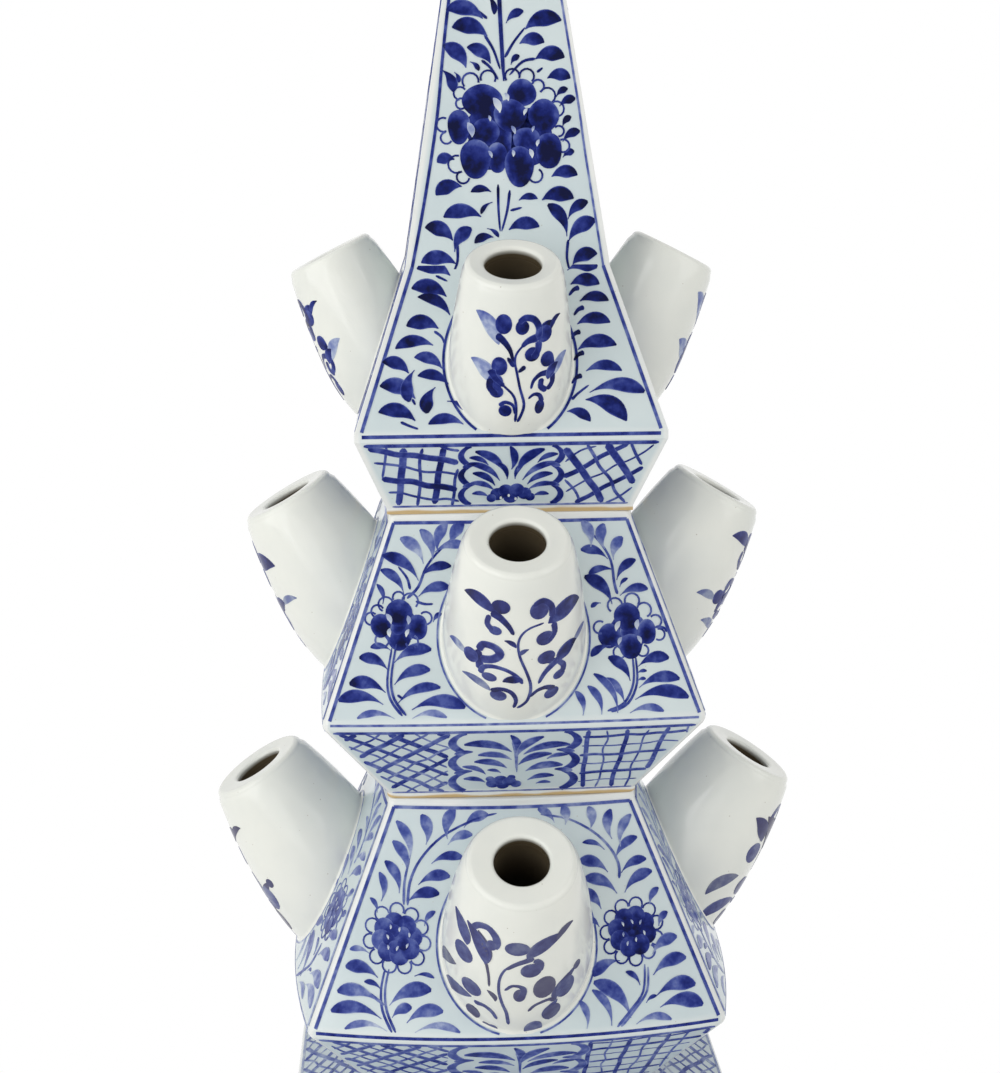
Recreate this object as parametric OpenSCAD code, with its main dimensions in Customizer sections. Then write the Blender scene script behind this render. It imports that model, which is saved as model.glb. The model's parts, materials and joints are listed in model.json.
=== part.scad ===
// Tulipiere: a stacked flower pyramid built from clay slabs.
// A plinth carries two tiers and an obelisk tier, each lifted off upwards.
// Every tier is a water vessel with four slanting spouts for flower stems.
// Millimetres, Z up, the front faces -Y, the origin is the centre of the footprint.

/* [Slabs and fits] */
// Thickness of a wall slab, measured level
wall = 6; // [4.5:0.1:8]
// Thickness of a reservoir floor
floor_t = 6; // [4:0.5:10]
// Height of the plain lip above and below each joint
lip_h = 1.8; // [1:0.1:3]
// Height of the upright band at a tier's widest edge
band_h = 4.2; // [2:0.1:8]
// How far a foot stands out past the seat under it
foot_overhang = 0.5; // [0:0.1:2]
// Height of a locating collar above its joint
collar_h = 7; // [4:0.5:12]
// Wall thickness of a locating collar
collar_t = 4.5; // [3:0.1:6]
// Gap all round between a collar and the foot over it
collar_gap = 0.8; // [0.4:0.1:2]
// Head room between a collar and the floor above it
collar_head = 2; // [1:0.5:5]
// Depth of the neck that holds a collar
neck_h = 11; // [6:0.5:16]

/* [Spouts] */
// Bore that takes the stems
spout_bore = 19; // [14:0.5:20]
// Distance from the mouth down to the belly
spout_belly_s = 58; // [45:1:80]
// Radius of the rolled lip
spout_lip_r = 2; // [1:0.1:2.2]

/* [Plinth] */
// Height of the plinth, ground to joint
base_h = 112; // [95:1:150]
// Width across the roof's edge
base_edge_w = 168; // [160:1:200]
// Width of the flat seat on the roof
base_seat_w = 102; // [94:1:112]
// Rise of the roof from its edge to the seat
base_roof_rise = 10; // [6:0.5:20]
// Thickness of the roof at the seat
base_roof_t = 8; // [6:0.5:9]
// Width of the walls under the roof
base_wall_top_w = 158; // [150:1:166]
// Width of the walls on the foot
base_wall_low_w = 148; // [138:1:156]
// Width of the foot on the ground
base_foot_w = 164; // [156:1:180]
// Height of the foot
base_foot_h = 26; // [20:1:34]
// Width of the arch between two bracket feet
base_arch_w = 96; // [70:1:110]
// Height of that arch
base_arch_h = 12; // [8:0.5:16]

/* [Lower tier] */
// Width across the widest edge
lower_edge_w = 150; // [138:1:162]
// How far a side bows out between two corners of that edge
lower_bow = 9; // [4:0.5:12]
// Width at the top
lower_top_w = 90; // [84:1:98]
// Height of the skirt under the band
lower_skirt_h = 34; // [28:1:42]
// Height of the sloping walls
lower_body_h = 73.5; // [64:0.5:84]
// Outside diameter of a spout at its mouth
lower_spout_mouth_d = 38; // [34:0.5:43]
// Outside diameter of a spout at its belly
lower_spout_belly_d = 54.5; // [49:0.5:60]
// Distance from the axis to a mouth's centre
lower_spout_reach = 97; // [92:0.5:104]
// Mouth's centre below the tier's top
lower_spout_drop = 2.4; // [-2:0.1:8]
// Lean of a spout from upright, in degrees
lower_spout_tilt = 32; // [28:1:37]

/* [Middle tier] */
// Width across the widest edge
middle_edge_w = 134; // [122:1:146]
// How far a side bows out between two corners of that edge
middle_bow = 2.5; // [1:0.5:6]
// Width at the top
middle_top_w = 86; // [80:1:92]
// Height of the skirt under the band
middle_skirt_h = 31.2; // [26:0.5:40]
// Height of the sloping walls
middle_body_h = 66.7; // [58:0.5:76]
// Outside diameter of a spout at its mouth
middle_spout_mouth_d = 36; // [32:0.5:41]
// Outside diameter of a spout at its belly
middle_spout_belly_d = 51; // [46:0.5:57]
// Distance from the axis to a mouth's centre
middle_spout_reach = 82; // [77:0.5:90]
// Mouth's centre below the tier's top
middle_spout_drop = 0.7; // [-2:0.1:8]
// Lean of a spout from upright, in degrees
middle_spout_tilt = 30; // [26:1:35]

/* [Obelisk tier] */
// Width across the widest edge
top_edge_w = 108; // [98:1:118]
// Width where the obelisk starts
top_break_w = 71; // [66:1:78]
// Height of the skirt under the band
top_skirt_h = 24.3; // [20:0.5:32]
// Height of the sloping walls
top_body_h = 55; // [48:0.5:64]
// Outside diameter of a spout at its mouth
top_spout_mouth_d = 32.5; // [29:0.5:37]
// Outside diameter of a spout at its belly
top_spout_belly_d = 44; // [39:0.5:50]
// Distance from the axis to a mouth's centre
top_spout_reach = 63.5; // [60:0.5:70]
// Mouth's centre above the start of the obelisk
top_spout_rise = 3.4; // [0:0.1:8]
// Lean of a spout from upright, in degrees
top_spout_tilt = 27; // [23:1:33]
// Height of the obelisk
obelisk_h = 164; // [130:1:200]
// Width of the obelisk at its tip
obelisk_tip_w = 19; // [17:1:24]
// Thickness of the closed tip
obelisk_cap = 8; // [5:1:14]
// Diameter of the ball on the tip
finial_d = 21; // [16:0.5:26]

/* [Hidden] */
$fn = 96;
TIERS = ["lower", "middle", "top"];
SIDES = ["front", "right", "back", "left"];
TURN = [-90, 0, 90, 180];
edge_w = [lower_edge_w, middle_edge_w, top_edge_w];
bow = [lower_bow, middle_bow, 0];
top_w = [lower_top_w, middle_top_w, top_break_w];
skirt_h = [lower_skirt_h, middle_skirt_h, top_skirt_h];
body_h = [lower_body_h, middle_body_h, top_body_h];
mouth_d = [lower_spout_mouth_d, middle_spout_mouth_d, top_spout_mouth_d];
belly_d = [lower_spout_belly_d, middle_spout_belly_d, top_spout_belly_d];
reach = [lower_spout_reach, middle_spout_reach, top_spout_reach];
drop = [lower_spout_drop, middle_spout_drop, -top_spout_rise];
tilt = [lower_spout_tilt, middle_spout_tilt, top_spout_tilt];

// Height of the joint under tier i, its band and its top
function joint_z(i) = i == 0 ? base_h : top_z(i - 1);
function band_z(i) = joint_z(i) + lip_h + skirt_h[i];
function edge_z(i) = band_z(i) + band_h;
function slope_z(i) = edge_z(i) + body_h[i];
function top_z(i) = slope_z(i) + (i == 2 ? 0 : lip_h);
// Widths that the section below a joint passes on to the one above it
function seat_w(i) = i == 0 ? base_seat_w : top_w[i - 1];
function foot_w(i) = seat_w(i) + 2 * foot_overhang;
function collar_w(i) = seat_w(i) - 2 * wall;
function foot_in_w(i) = collar_w(i) + 2 * collar_gap;
function floor_z(i) = joint_z(i) + collar_h + collar_head;
// How far a spout of tier i swells from mouth to belly, and the radius of that arc
function swell(i) = (belly_d[i] - mouth_d[i]) / 2;
function swell_r(i) = (swell(i) * swell(i) + spout_belly_s * spout_belly_s) / (2 * swell(i));
// Where tier i's sides, bowed to one round form, have that form's axis behind the middle,
// and the form's radius where the corners stand w apart
function arc_back(i) = (pow(edge_w[i] / 2, 2) - pow(bow[i], 2)) / (2 * bow[i]) - edge_w[i] / 2;
function arc_r(i, w) = sqrt(pow(arc_back(i) + w / 2, 2) + pow(w / 2, 2));
// How far a wall's corner leans in for each millimetre up, both sides together
function lean(i) = (edge_w[i] - top_w[i]) / body_h[i];
function under_neck_z(i) = top_z(i) - neck_h;

tip_z = top_z(2) + obelisk_h;
roof_edge_z = base_h - base_roof_rise;
roof_low_z = roof_edge_z - band_h;
// Larger than any section, for what is cut to size afterwards
big = 600;
// How far a lip or neck is let into the form beside it
lap = 0.5;

// A form that is square in plan, from its widths and heights listed upwards
module square_form(steps) {
    last = len(steps) - 1;
    outline = concat(
        [for (s = steps) [s[0] / 2, s[1]]],
        [for (k = [0:last]) [-steps[last - k][0] / 2, steps[last - k][1]]]
    );
    intersection() {
        rotate([90, 0, 0]) linear_extrude(big, center = true) polygon(outline);
        rotate([90, 0, 90]) linear_extrude(big, center = true) polygon(outline);
    }
}

// A square bar from z low to z high
module bar(w, low, high) {
    translate([-w / 2, -w / 2, low]) cube([w, w, high - low]);
}

// What lies on the +X side of the two mitres, which cut a shell into four slabs
module mitre() {
    translate([0, 0, -1]) linear_extrude(big * 2)
        polygon([[0, 0], [big, -big], [big, big]]);
}

// A form with four bowed sides, from the widths between its corners and its heights, upwards
module bowed_form(i, steps) {
    last = len(steps) - 1;
    intersection_for(turn = TURN)
        rotate(turn) translate([-arc_back(i), 0, 0]) rotate_extrude($fn = 720) polygon(concat(
            [[0, steps[0][1]]],
            [for (s = steps) [arc_r(i, s[0]), s[1]]],
            [[0, steps[last][1]]]
        ));
}

// The hollow inside tier i's skirt, with the straight recess that takes a collar
module skirt_hollow(i) {
    in_w = edge_w[i] - 2 * wall;
    if (bow[i] > 0) {
        grow = (in_w - foot_in_w(i)) / (edge_z(i) - joint_z(i));
        bar(foot_in_w(i), joint_z(i) - lap, floor_z(i) + lap);
        bowed_form(i, [
            [foot_in_w(i) + grow * (floor_z(i) - joint_z(i)), floor_z(i)],
            [in_w, edge_z(i)]
        ]);
    } else {
        square_form([[foot_in_w(i), joint_z(i)], [in_w, edge_z(i)]]);
    }
}

// The outside of tier i's skirt, with the lip at its foot and the band at its edge
module skirt_form(i) {
    rise = [[foot_w(i), joint_z(i) + lip_h], [edge_w[i], band_z(i)], [edge_w[i], edge_z(i)]];
    if (bow[i] > 0) {
        bowed_form(i, rise);
        bar(foot_w(i), joint_z(i), joint_z(i) + lip_h + lap);
    } else {
        square_form(concat([[foot_w(i), joint_z(i)]], rise));
    }
}

// One side of tier i's skirt
module skirt_slab(i) {
    intersection() {
        difference() {
            skirt_form(i);
            skirt_hollow(i);
        }
        mitre();
    }
}

// The hollow inside tier i's sloping walls, with the straight neck that takes a collar
module body_hollow(i) {
    low = [edge_w[i] - 2 * wall, edge_z(i)];
    in_w = top_w[i] - 2 * wall;
    if (bow[i] > 0) {
        bowed_form(i, [low, [in_w + lean(i) * (slope_z(i) - under_neck_z(i)), under_neck_z(i)]]);
        bar(in_w, under_neck_z(i) - lap, top_z(i) + lap);
    } else {
        square_form([low, [in_w, slope_z(i)]]);
    }
}

// The outside of tier i's sloping walls, with the lip that carries the tier above
module wall_form(i) {
    rise = [[edge_w[i], edge_z(i)], [top_w[i], slope_z(i)]];
    if (bow[i] > 0) {
        bowed_form(i, rise);
        bar(top_w[i], slope_z(i) - lap, top_z(i));
    } else {
        square_form(rise);
    }
}

// One sloping wall of tier i, pierced for its spout
module wall_slab(i) {
    intersection() {
        difference() {
            wall_form(i);
            body_hollow(i);
            at_mouth(i) cylinder(d = spout_bore, h = big, center = true);
        }
        mitre();
    }
}

// Moves a spout, drawn along Z with its mouth at the origin, to the +X side of tier i
module at_mouth(i) {
    translate([reach[i], 0, slope_z(i) + (i == 2 ? 0 : lip_h) - drop[i]])
        rotate([0, tilt[i], 0]) children();
}

// A spout of tier i before it is trimmed: swelling sides, a rolled lip and the bore
module spout_blank(i) {
    lip_in = spout_bore / 2 + spout_lip_r;
    lip_out = mouth_d[i] / 2 - spout_lip_r;
    rotate_extrude() {
        difference() {
            intersection() {
                translate([belly_d[i] / 2 - swell_r(i), -spout_belly_s]) circle(swell_r(i), $fn = 720);
                translate([0, -big]) square([big, big - spout_lip_r]);
            }
            translate([-big, -big]) square([big + spout_bore / 2, 2 * big]);
        }
        for (x = [lip_in, lip_out]) translate([x, -spout_lip_r]) circle(spout_lip_r);
        translate([lip_in, -spout_lip_r]) square([lip_out - lip_in, spout_lip_r]);
    }
}

// Everything behind the outer face that a spout of tier i stands on
module behind_wall(i) {
    thin = (top_break_w - obelisk_tip_w) / obelisk_h;
    up = i == 2 ? thin : lean(i);
    past = 100;
    if (bow[i] > 0) {
        steep = (arc_r(i, edge_w[i]) - arc_r(i, top_w[i])) / body_h[i];
        translate([-arc_back(i), 0, 0]) rotate_extrude($fn = 720) polygon([
            [0, edge_z(i) - past],
            [arc_r(i, edge_w[i]) + steep * past, edge_z(i) - past],
            [arc_r(i, top_w[i]) - steep * past, slope_z(i) + past],
            [0, slope_z(i) + past]
        ]);
    } else {
        rotate([90, 0, 0]) linear_extrude(big, center = true) polygon([
            [-big, edge_z(i) - past],
            [edge_w[i] / 2 + lean(i) / 2 * past, edge_z(i) - past],
            [top_w[i] / 2, slope_z(i)],
            [top_w[i] / 2 - up / 2 * past, slope_z(i) + past],
            [-big, slope_z(i) + past]
        ]);
    }
}

// One spout of tier i, trimmed to the wall and to the band
module spout(i) {
    difference() {
        at_mouth(i) spout_blank(i);
        behind_wall(i);
        bar(big, 0, edge_z(i));
    }
}

// The floor of tier i's reservoir, set above the foot's recess
module reservoir_floor(i) {
    intersection() {
        skirt_hollow(i);
        bar(big, floor_z(i), floor_z(i) + floor_t);
    }
}

// A square collar that stands up from the joint under tier i
module collar(i, low) {
    difference() {
        bar(collar_w(i), low, joint_z(i) + collar_h);
        bar(collar_w(i) - 2 * collar_t, low - 1, joint_z(i) + collar_h + 1);
    }
}

// The plinth's foot: a flared ring cut into four bracket feet
module base_foot() {
    difference() {
        square_form([
            [base_foot_w, 0],
            [base_foot_w, base_foot_h / 4],
            [base_wall_low_w, base_foot_h]
        ]);
        bar(base_wall_low_w - 2 * wall, -1, base_foot_h + 1);
        for (turn = [0, 90]) rotate([90, 0, turn]) linear_extrude(big, center = true) {
            translate([-base_arch_w / 2, -1]) square([base_arch_w, 1 + base_arch_h / 2]);
            translate([-base_arch_w / 2 + base_arch_h / 2, 0])
                square([base_arch_w - base_arch_h, base_arch_h]);
            for (side = [-1, 1])
                translate([side * (base_arch_w - base_arch_h) / 2, base_arch_h / 2])
                    circle(d = base_arch_h);
        }
    }
}

// One wall of the plinth
module base_wall() {
    intersection() {
        difference() {
            square_form([[base_wall_low_w, base_foot_h], [base_wall_top_w, roof_low_z]]);
            square_form([
                [base_wall_low_w - 2 * wall, base_foot_h],
                [base_wall_top_w - 2 * wall, roof_low_z]
            ]);
        }
        mitre();
    }
}

// The plinth's roof: a low hipped slab with the seat for the lower tier
module base_roof() {
    difference() {
        square_form([
            [base_edge_w, roof_low_z],
            [base_edge_w, roof_edge_z],
            [base_seat_w, base_h]
        ]);
        square_form([
            [base_wall_top_w - 2 * wall, roof_low_z],
            [base_seat_w, base_h - base_roof_t],
            [collar_w(0), base_h - base_roof_t],
            [collar_w(0), base_h]
        ]);
    }
}

// One slab of the obelisk, with its share of the closed tip
module obelisk_slab() {
    thin = (top_break_w - obelisk_tip_w) / obelisk_h;
    intersection() {
        difference() {
            square_form([[top_break_w, top_z(2)], [obelisk_tip_w, tip_z]]);
            square_form([
                [top_break_w - 2 * wall, top_z(2)],
                [obelisk_tip_w - 2 * wall + thin * obelisk_cap, tip_z - obelisk_cap]
            ]);
        }
        mitre();
    }
}

// The ball on the tip, with its flange and neck
module obelisk_finial() {
    translate([0, 0, tip_z]) {
        cylinder(d = obelisk_tip_w - 2, h = 2.5);
        cylinder(d = finial_d * 0.55, h = 7);
        translate([0, 0, 4 + finial_d / 2]) sphere(d = finial_d);
    }
}

glaze = [0.87, 0.9, 0.92];
clay = [0.83, 0.75, 0.6];

color(glaze) base_foot();
color(glaze) base_roof();
color(clay) collar(0, base_h - base_roof_t);  // base_collar
for (k = [0:3])
    color(glaze) rotate(TURN[k]) base_wall();
for (i = [0:2], k = [0:3]) {
    color(glaze) rotate(TURN[k]) skirt_slab(i);
    color(glaze) rotate(TURN[k]) wall_slab(i);
    color(glaze) rotate(TURN[k]) spout(i);
}
for (i = [0:2])
    color(clay) reservoir_floor(i);
color(clay) collar(1, top_z(0) - neck_h);  // lower_collar
color(clay) collar(2, top_z(1) - neck_h);  // middle_collar
for (k = [0:3])
    color(glaze) rotate(TURN[k]) obelisk_slab();
color(glaze) obelisk_finial();
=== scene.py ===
# %% [markdown]
# # A blue and white flower pyramid
#
# A tulipiere is a stack of glazed clay vessels. Each vessel is put together from flat clay slabs,
# has one slanting spout on every side for a flower stem, and lifts off the vessel below it.
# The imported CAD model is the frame: it says where every section starts, how wide it is and which
# body a piece rides on. This script gives each section its rolled glaze edges, its thrown spouts
# and its cobalt brushwork.

# %% Load the frame
import json
import math
import random
from types import SimpleNamespace

import bpy
from mathutils import Matrix, Vector


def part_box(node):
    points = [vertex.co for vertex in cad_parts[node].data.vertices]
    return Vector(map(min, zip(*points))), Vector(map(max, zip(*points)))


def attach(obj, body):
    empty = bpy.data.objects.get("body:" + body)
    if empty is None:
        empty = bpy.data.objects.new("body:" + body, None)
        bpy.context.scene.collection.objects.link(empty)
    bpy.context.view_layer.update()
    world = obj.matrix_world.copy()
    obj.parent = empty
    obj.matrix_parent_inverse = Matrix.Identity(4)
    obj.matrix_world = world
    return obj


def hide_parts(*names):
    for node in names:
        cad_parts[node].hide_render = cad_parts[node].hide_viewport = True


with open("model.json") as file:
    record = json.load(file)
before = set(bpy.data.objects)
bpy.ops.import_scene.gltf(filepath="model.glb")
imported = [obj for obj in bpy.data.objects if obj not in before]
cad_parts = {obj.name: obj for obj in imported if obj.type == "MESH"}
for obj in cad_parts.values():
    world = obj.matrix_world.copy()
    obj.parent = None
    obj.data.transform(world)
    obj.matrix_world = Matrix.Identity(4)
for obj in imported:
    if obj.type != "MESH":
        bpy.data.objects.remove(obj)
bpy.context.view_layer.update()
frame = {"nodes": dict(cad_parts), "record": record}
MM = 0.001
UP = Vector((0, 0, 1))

# %% [markdown]
# ## Camera
#
# The picture is taken from a little above the middle of the stack and slightly to its left, with
# the top and the plinth cut off by the frame. A camera can be placed by eye, but here its place
# and turn were worked out from the corners of the tiers, so the edges fall where they should.
# The three axes of the camera are written straight into its matrix.

# %% Camera
CAMERA_PLACE = Vector((-34.85, -609.9, 456.6))
LENS = 55.19
yaw, pitch, roll = (math.radians(a) for a in (-3.14, 13.13, -0.35))
forward = Vector((-math.sin(yaw) * math.cos(pitch), math.cos(yaw) * math.cos(pitch), -math.sin(pitch)))
level = Vector((math.cos(yaw), math.sin(yaw), 0))
rightward = level * math.cos(roll) + level.cross(forward) * math.sin(roll)
axes = Matrix((rightward, rightward.cross(forward), -forward)).transposed().to_4x4()
bpy.ops.object.camera_add()
camera = bpy.context.object
camera.matrix_world = Matrix.Translation(CAMERA_PLACE * MM) @ axes
camera.data.lens = LENS
camera.data.sensor_width = 36
camera.data.clip_start = 0.01
bpy.context.scene.camera = camera
print("camera at", [round(x, 3) for x in camera.location], "lens", camera.data.lens)

# %% [markdown]
# ## Light and floor
#
# The object stands in a bright white tent: light comes from everywhere, a little more of it from
# the left in front, and the darkest places are where a spout shades the wall behind it.
# A world with an even strength gives that shade, and three large area lamps give it direction.
# Rays that come straight from the camera, or by way of a reflection, see the world as plain white,
# and the paper floor as white from a little way outside the stack's own shade.

# %% Light and floor
bpy.context.scene.view_settings.view_transform = "Standard"


def add(tree, kind, **values):
    """Adds a node. Each keyword is one of its properties, or one of its sockets with _ for a space."""
    node = tree.nodes.new(kind)
    for name, value in values.items():
        if name in node.bl_rna.properties:
            setattr(node, name, value)
        else:
            node.inputs[name.replace("_", " ")].default_value = value
    return node


def join(tree, *pairs):
    """Links sockets, given as pairs of an output and an input."""
    for start, end in pairs:
        tree.links.new(start, end)


def straight_view(tree):
    """A value of 1 for rays from the camera, a reflection or through glass, and 0 for light."""
    path = add(tree, "ShaderNodeLightPath")
    one = add(tree, "ShaderNodeMath", operation="MAXIMUM")
    two = add(tree, "ShaderNodeMath", operation="MAXIMUM")
    join(tree, (path.outputs["Is Camera Ray"], one.inputs[0]), (path.outputs["Is Glossy Ray"], one.inputs[1]),
         (one.outputs[0], two.inputs[0]), (path.outputs["Is Transmission Ray"], two.inputs[1]))
    return two.outputs[0]


TENT = 0.56
STACK_MIDDLE = Vector((0, 0, 0.33))
GLOW_FROM, GLOW_FULL = 0.105, 0.16
world = bpy.data.worlds.new("white_tent")
bpy.context.scene.world = world
world.use_nodes = True
sky = world.node_tree
strength = add(sky, "ShaderNodeMapRange", To_Min=TENT, To_Max=1.0)
join(sky, (straight_view(sky), strength.inputs["Value"]),
     (strength.outputs[0], sky.nodes["Background"].inputs["Strength"]))
sky.nodes["Background"].inputs["Color"].default_value = (1, 1, 1, 1)


def lamp(name, place, size, watts):
    """A square area lamp that points at the middle of the stack."""
    bpy.ops.object.light_add(type="AREA", location=place)
    light = bpy.context.object
    light.name = name
    light.rotation_euler = (STACK_MIDDLE - Vector(place)).to_track_quat("-Z", "Y").to_euler()
    light.data.size = size
    light.data.energy = watts


lamp("key_left", (-1.30, -0.85, 0.85), 1.6, 11.6)
lamp("fill_front", (-0.45, -1.35, 0.30), 1.0, 2.2)
lamp("fill_right", (1.2, -0.7, 0.85), 1.2, 4.0)

bpy.ops.object.select_all(action="DESELECT")
bpy.ops.mesh.primitive_plane_add(size=30)
floor = bpy.context.object
floor.name = "floor"
paper = bpy.data.materials.new("white_paper")
paper.use_nodes = True
tree = paper.node_tree
coords = add(tree, "ShaderNodeTexCoord")
reach = add(tree, "ShaderNodeVectorMath", operation="LENGTH")
far = add(tree, "ShaderNodeMapRange", interpolation_type="SMOOTHSTEP", From_Min=GLOW_FROM,
          From_Max=GLOW_FULL)
seen = add(tree, "ShaderNodeMath", operation="MULTIPLY")
glow = add(tree, "ShaderNodeEmission", Color=(1, 1, 1, 1), Strength=1)
blend = add(tree, "ShaderNodeMixShader")
matt = tree.nodes["Principled BSDF"]
matt.inputs["Base Color"].default_value = (0.86, 0.86, 0.86, 1)
matt.inputs["Roughness"].default_value = 0.9
join(tree, (coords.outputs["Object"], reach.inputs[0]), (reach.outputs["Value"], far.inputs["Value"]),
     (far.outputs[0], seen.inputs[0]), (straight_view(tree), seen.inputs[1]),
     (seen.outputs[0], blend.inputs["Fac"]), (matt.outputs[0], blend.inputs[1]),
     (glow.outputs[0], blend.inputs[2]),
     (blend.outputs[0], tree.nodes["Material Output"].inputs["Surface"]))
floor.data.materials.append(paper)

# %% [markdown]
# ## What the kiln leaves behind
#
# A glaze is never one colour: it pools in shallow places, thins over edges and shows pinholes and
# a faint ripple. All the finishes here need that, so it is one node group with named values, and
# each material places it at its own scale.

# %% Kiln variation
kiln = bpy.data.node_groups.new("kiln_variation", "ShaderNodeTree")
for socket, default in (("Patch Scale", 24.0), ("Ripple Scale", 70.0), ("Speck Scale", 420.0)):
    kiln.interface.new_socket(socket, in_out="INPUT", socket_type="NodeSocketFloat").default_value = default
for socket in ("Patches", "Ripple", "Specks"):
    kiln.interface.new_socket(socket, in_out="OUTPUT", socket_type="NodeSocketFloat")
ins = add(kiln, "NodeGroupInput")
outs = add(kiln, "NodeGroupOutput")
coords = add(kiln, "ShaderNodeTexCoord")
cloud = add(kiln, "ShaderNodeTexNoise", Detail=3.0, Roughness=0.55)
even = add(kiln, "ShaderNodeMapRange", From_Min=0.32, From_Max=0.68)
wave = add(kiln, "ShaderNodeTexNoise", Detail=2.0, Roughness=0.4)
dots = add(kiln, "ShaderNodeTexVoronoi", feature="F1")
pin = add(kiln, "ShaderNodeMapRange", From_Min=0.05, From_Max=0.11, To_Min=1.0, To_Max=0.0)
pick = add(kiln, "ShaderNodeMapRange", From_Min=0.80, From_Max=0.82)
both = add(kiln, "ShaderNodeMath", operation="MULTIPLY")
join(kiln, *[(coords.outputs["Object"], node.inputs["Vector"]) for node in (cloud, wave, dots)],
     (ins.outputs["Patch Scale"], cloud.inputs["Scale"]), (ins.outputs["Ripple Scale"], wave.inputs["Scale"]),
     (ins.outputs["Speck Scale"], dots.inputs["Scale"]), (cloud.outputs["Fac"], even.inputs["Value"]),
     (even.outputs[0], outs.inputs["Patches"]), (wave.outputs["Fac"], outs.inputs["Ripple"]),
     (dots.outputs["Distance"], pin.inputs["Value"]), (dots.outputs["Color"], pick.inputs["Value"]),
     (pin.outputs[0], both.inputs[0]), (pick.outputs[0], both.inputs[1]),
     (both.outputs[0], outs.inputs["Specks"]))
print("node group", kiln.name, [s.name for s in kiln.interface.items_tree])

# %% [markdown]
# ## Finishes
#
# The slabs carry a pale blue-grey glaze that turns white where it runs thin on the lips, and a
# little paler on the band at the widest edge. Along the corners a white stripe is painted highlight,
# together with glaze running thin there. At the foot of each section the glaze stops short and a
# line of tan clay shows. The corners are found by their place, because a square stack has its
# corners where x and y are equal; bands, lips and feet are marked with vertex attributes.

# %% Finish helpers
def finish(name, slot, **scales):
    """A new material with its kiln variation at these scales and its ripple as bump; the slot is stored with
    it but not used.
    """
    material = bpy.data.materials.new(name)
    material.use_nodes = True
    tree = material.node_tree
    shader = tree.nodes["Principled BSDF"]
    fired = add(tree, "ShaderNodeGroup", node_tree=kiln, **scales)
    patches, ripple, specks = (fired.outputs[key] for key in ("Patches", "Ripple", "Specks"))
    bump = add(tree, "ShaderNodeBump", Strength=0.5, Distance=0.0003)
    join(tree, (ripple, bump.inputs["Height"]), (bump.outputs["Normal"], shader.inputs["Normal"]))
    return SimpleNamespace(material=material, slot=slot, tree=tree, inputs=shader.inputs, patches=patches,
                           ripple=ripple, specks=specks)


def mixed(tree, factor, low, high):
    """A colour between two others, each a plain colour or a socket."""
    mix = add(tree, "ShaderNodeMix", data_type="RGBA")
    join(tree, (factor, mix.inputs["Factor"]))
    for socket, value in ((mix.inputs[6], low), (mix.inputs[7], high)):
        if isinstance(value, tuple):
            socket.default_value = (*value, 1)
        else:
            join(tree, (value, socket))
    return mix.outputs[2]


def combined(tree, operation, first, second):
    """A value made from two others, each a plain number or a socket."""
    node = add(tree, "ShaderNodeMath", operation=operation)
    for socket, value in zip(node.inputs, (first, second)):
        if isinstance(value, (int, float)):
            socket.default_value = value
        else:
            join(tree, (value, socket))
    return node.outputs[0]


def stepped(tree, value, low, high, start=0.0, end=1.0):
    """A value moved from one range to another, held at its ends."""
    node = add(tree, "ShaderNodeMapRange", From_Min=low, From_Max=high, To_Min=start, To_Max=end)
    join(tree, (value, node.inputs["Value"]))
    return node.outputs[0]


def marked(tree, name):
    """The value of a vertex attribute."""
    return add(tree, "ShaderNodeAttribute", attribute_name=name).outputs["Fac"]


CLAY = (0.56, 0.40, 0.19)
print("finish helpers ready")

# %% Painted glaze
painted = finish("pale_blue_glaze", "painted_glaze")
tree = painted.tree
split = add(tree, "ShaderNodeSeparateXYZ")
join(tree, (add(tree, "ShaderNodeTexCoord").outputs["Object"], split.inputs[0]))
across = combined(tree, "ABSOLUTE", split.outputs["X"], 0)
along = combined(tree, "ABSOLUTE", split.outputs["Y"], 0)
from_corner = combined(tree, "ABSOLUTE", combined(tree, "SUBTRACT", across, along), 0)
# Painted highlight: a white stripe down each rounded corner, where the glaze also runs thin.
corner_highlight = stepped(tree, from_corner, 0.0012, 0.0028, 1, 0)
thin = combined(tree, "MAXIMUM", corner_highlight, stepped(tree, marked(tree, "thin"), 0.3, 0.95))
thin_glaze_and_highlight = combined(tree, "MULTIPLY", thin, stepped(tree, painted.ripple, 0.25, 0.6, 0.65, 1))
pale = mixed(tree, painted.patches, (0.565, 0.655, 0.675), (0.655, 0.73, 0.73))
glazed = mixed(tree, thin_glaze_and_highlight, pale, (0.82, 0.83, 0.80))
wavering = combined(tree, "MULTIPLY", combined(tree, "SUBTRACT", painted.ripple, 0.5), 0.7)
edge_line = combined(tree, "ADD", marked(tree, "bare"), wavering)
bare = combined(tree, "MULTIPLY", stepped(tree, edge_line, 0.5, 0.72),
                stepped(tree, marked(tree, "bare"), 0.05, 0.2))
worn = mixed(tree, combined(tree, "MULTIPLY", painted.specks, 0.55), glazed, (0.40, 0.33, 0.22))
rough = combined(tree, "ADD", combined(tree, "MULTIPLY", bare, 0.6),
                 stepped(tree, painted.patches, 0, 1, 0.13, 0.20))
join(tree, (mixed(tree, bare, worn, CLAY), painted.inputs["Base Color"]),
     (rough, painted.inputs["Roughness"]))
print("made", painted.material.name)

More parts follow.
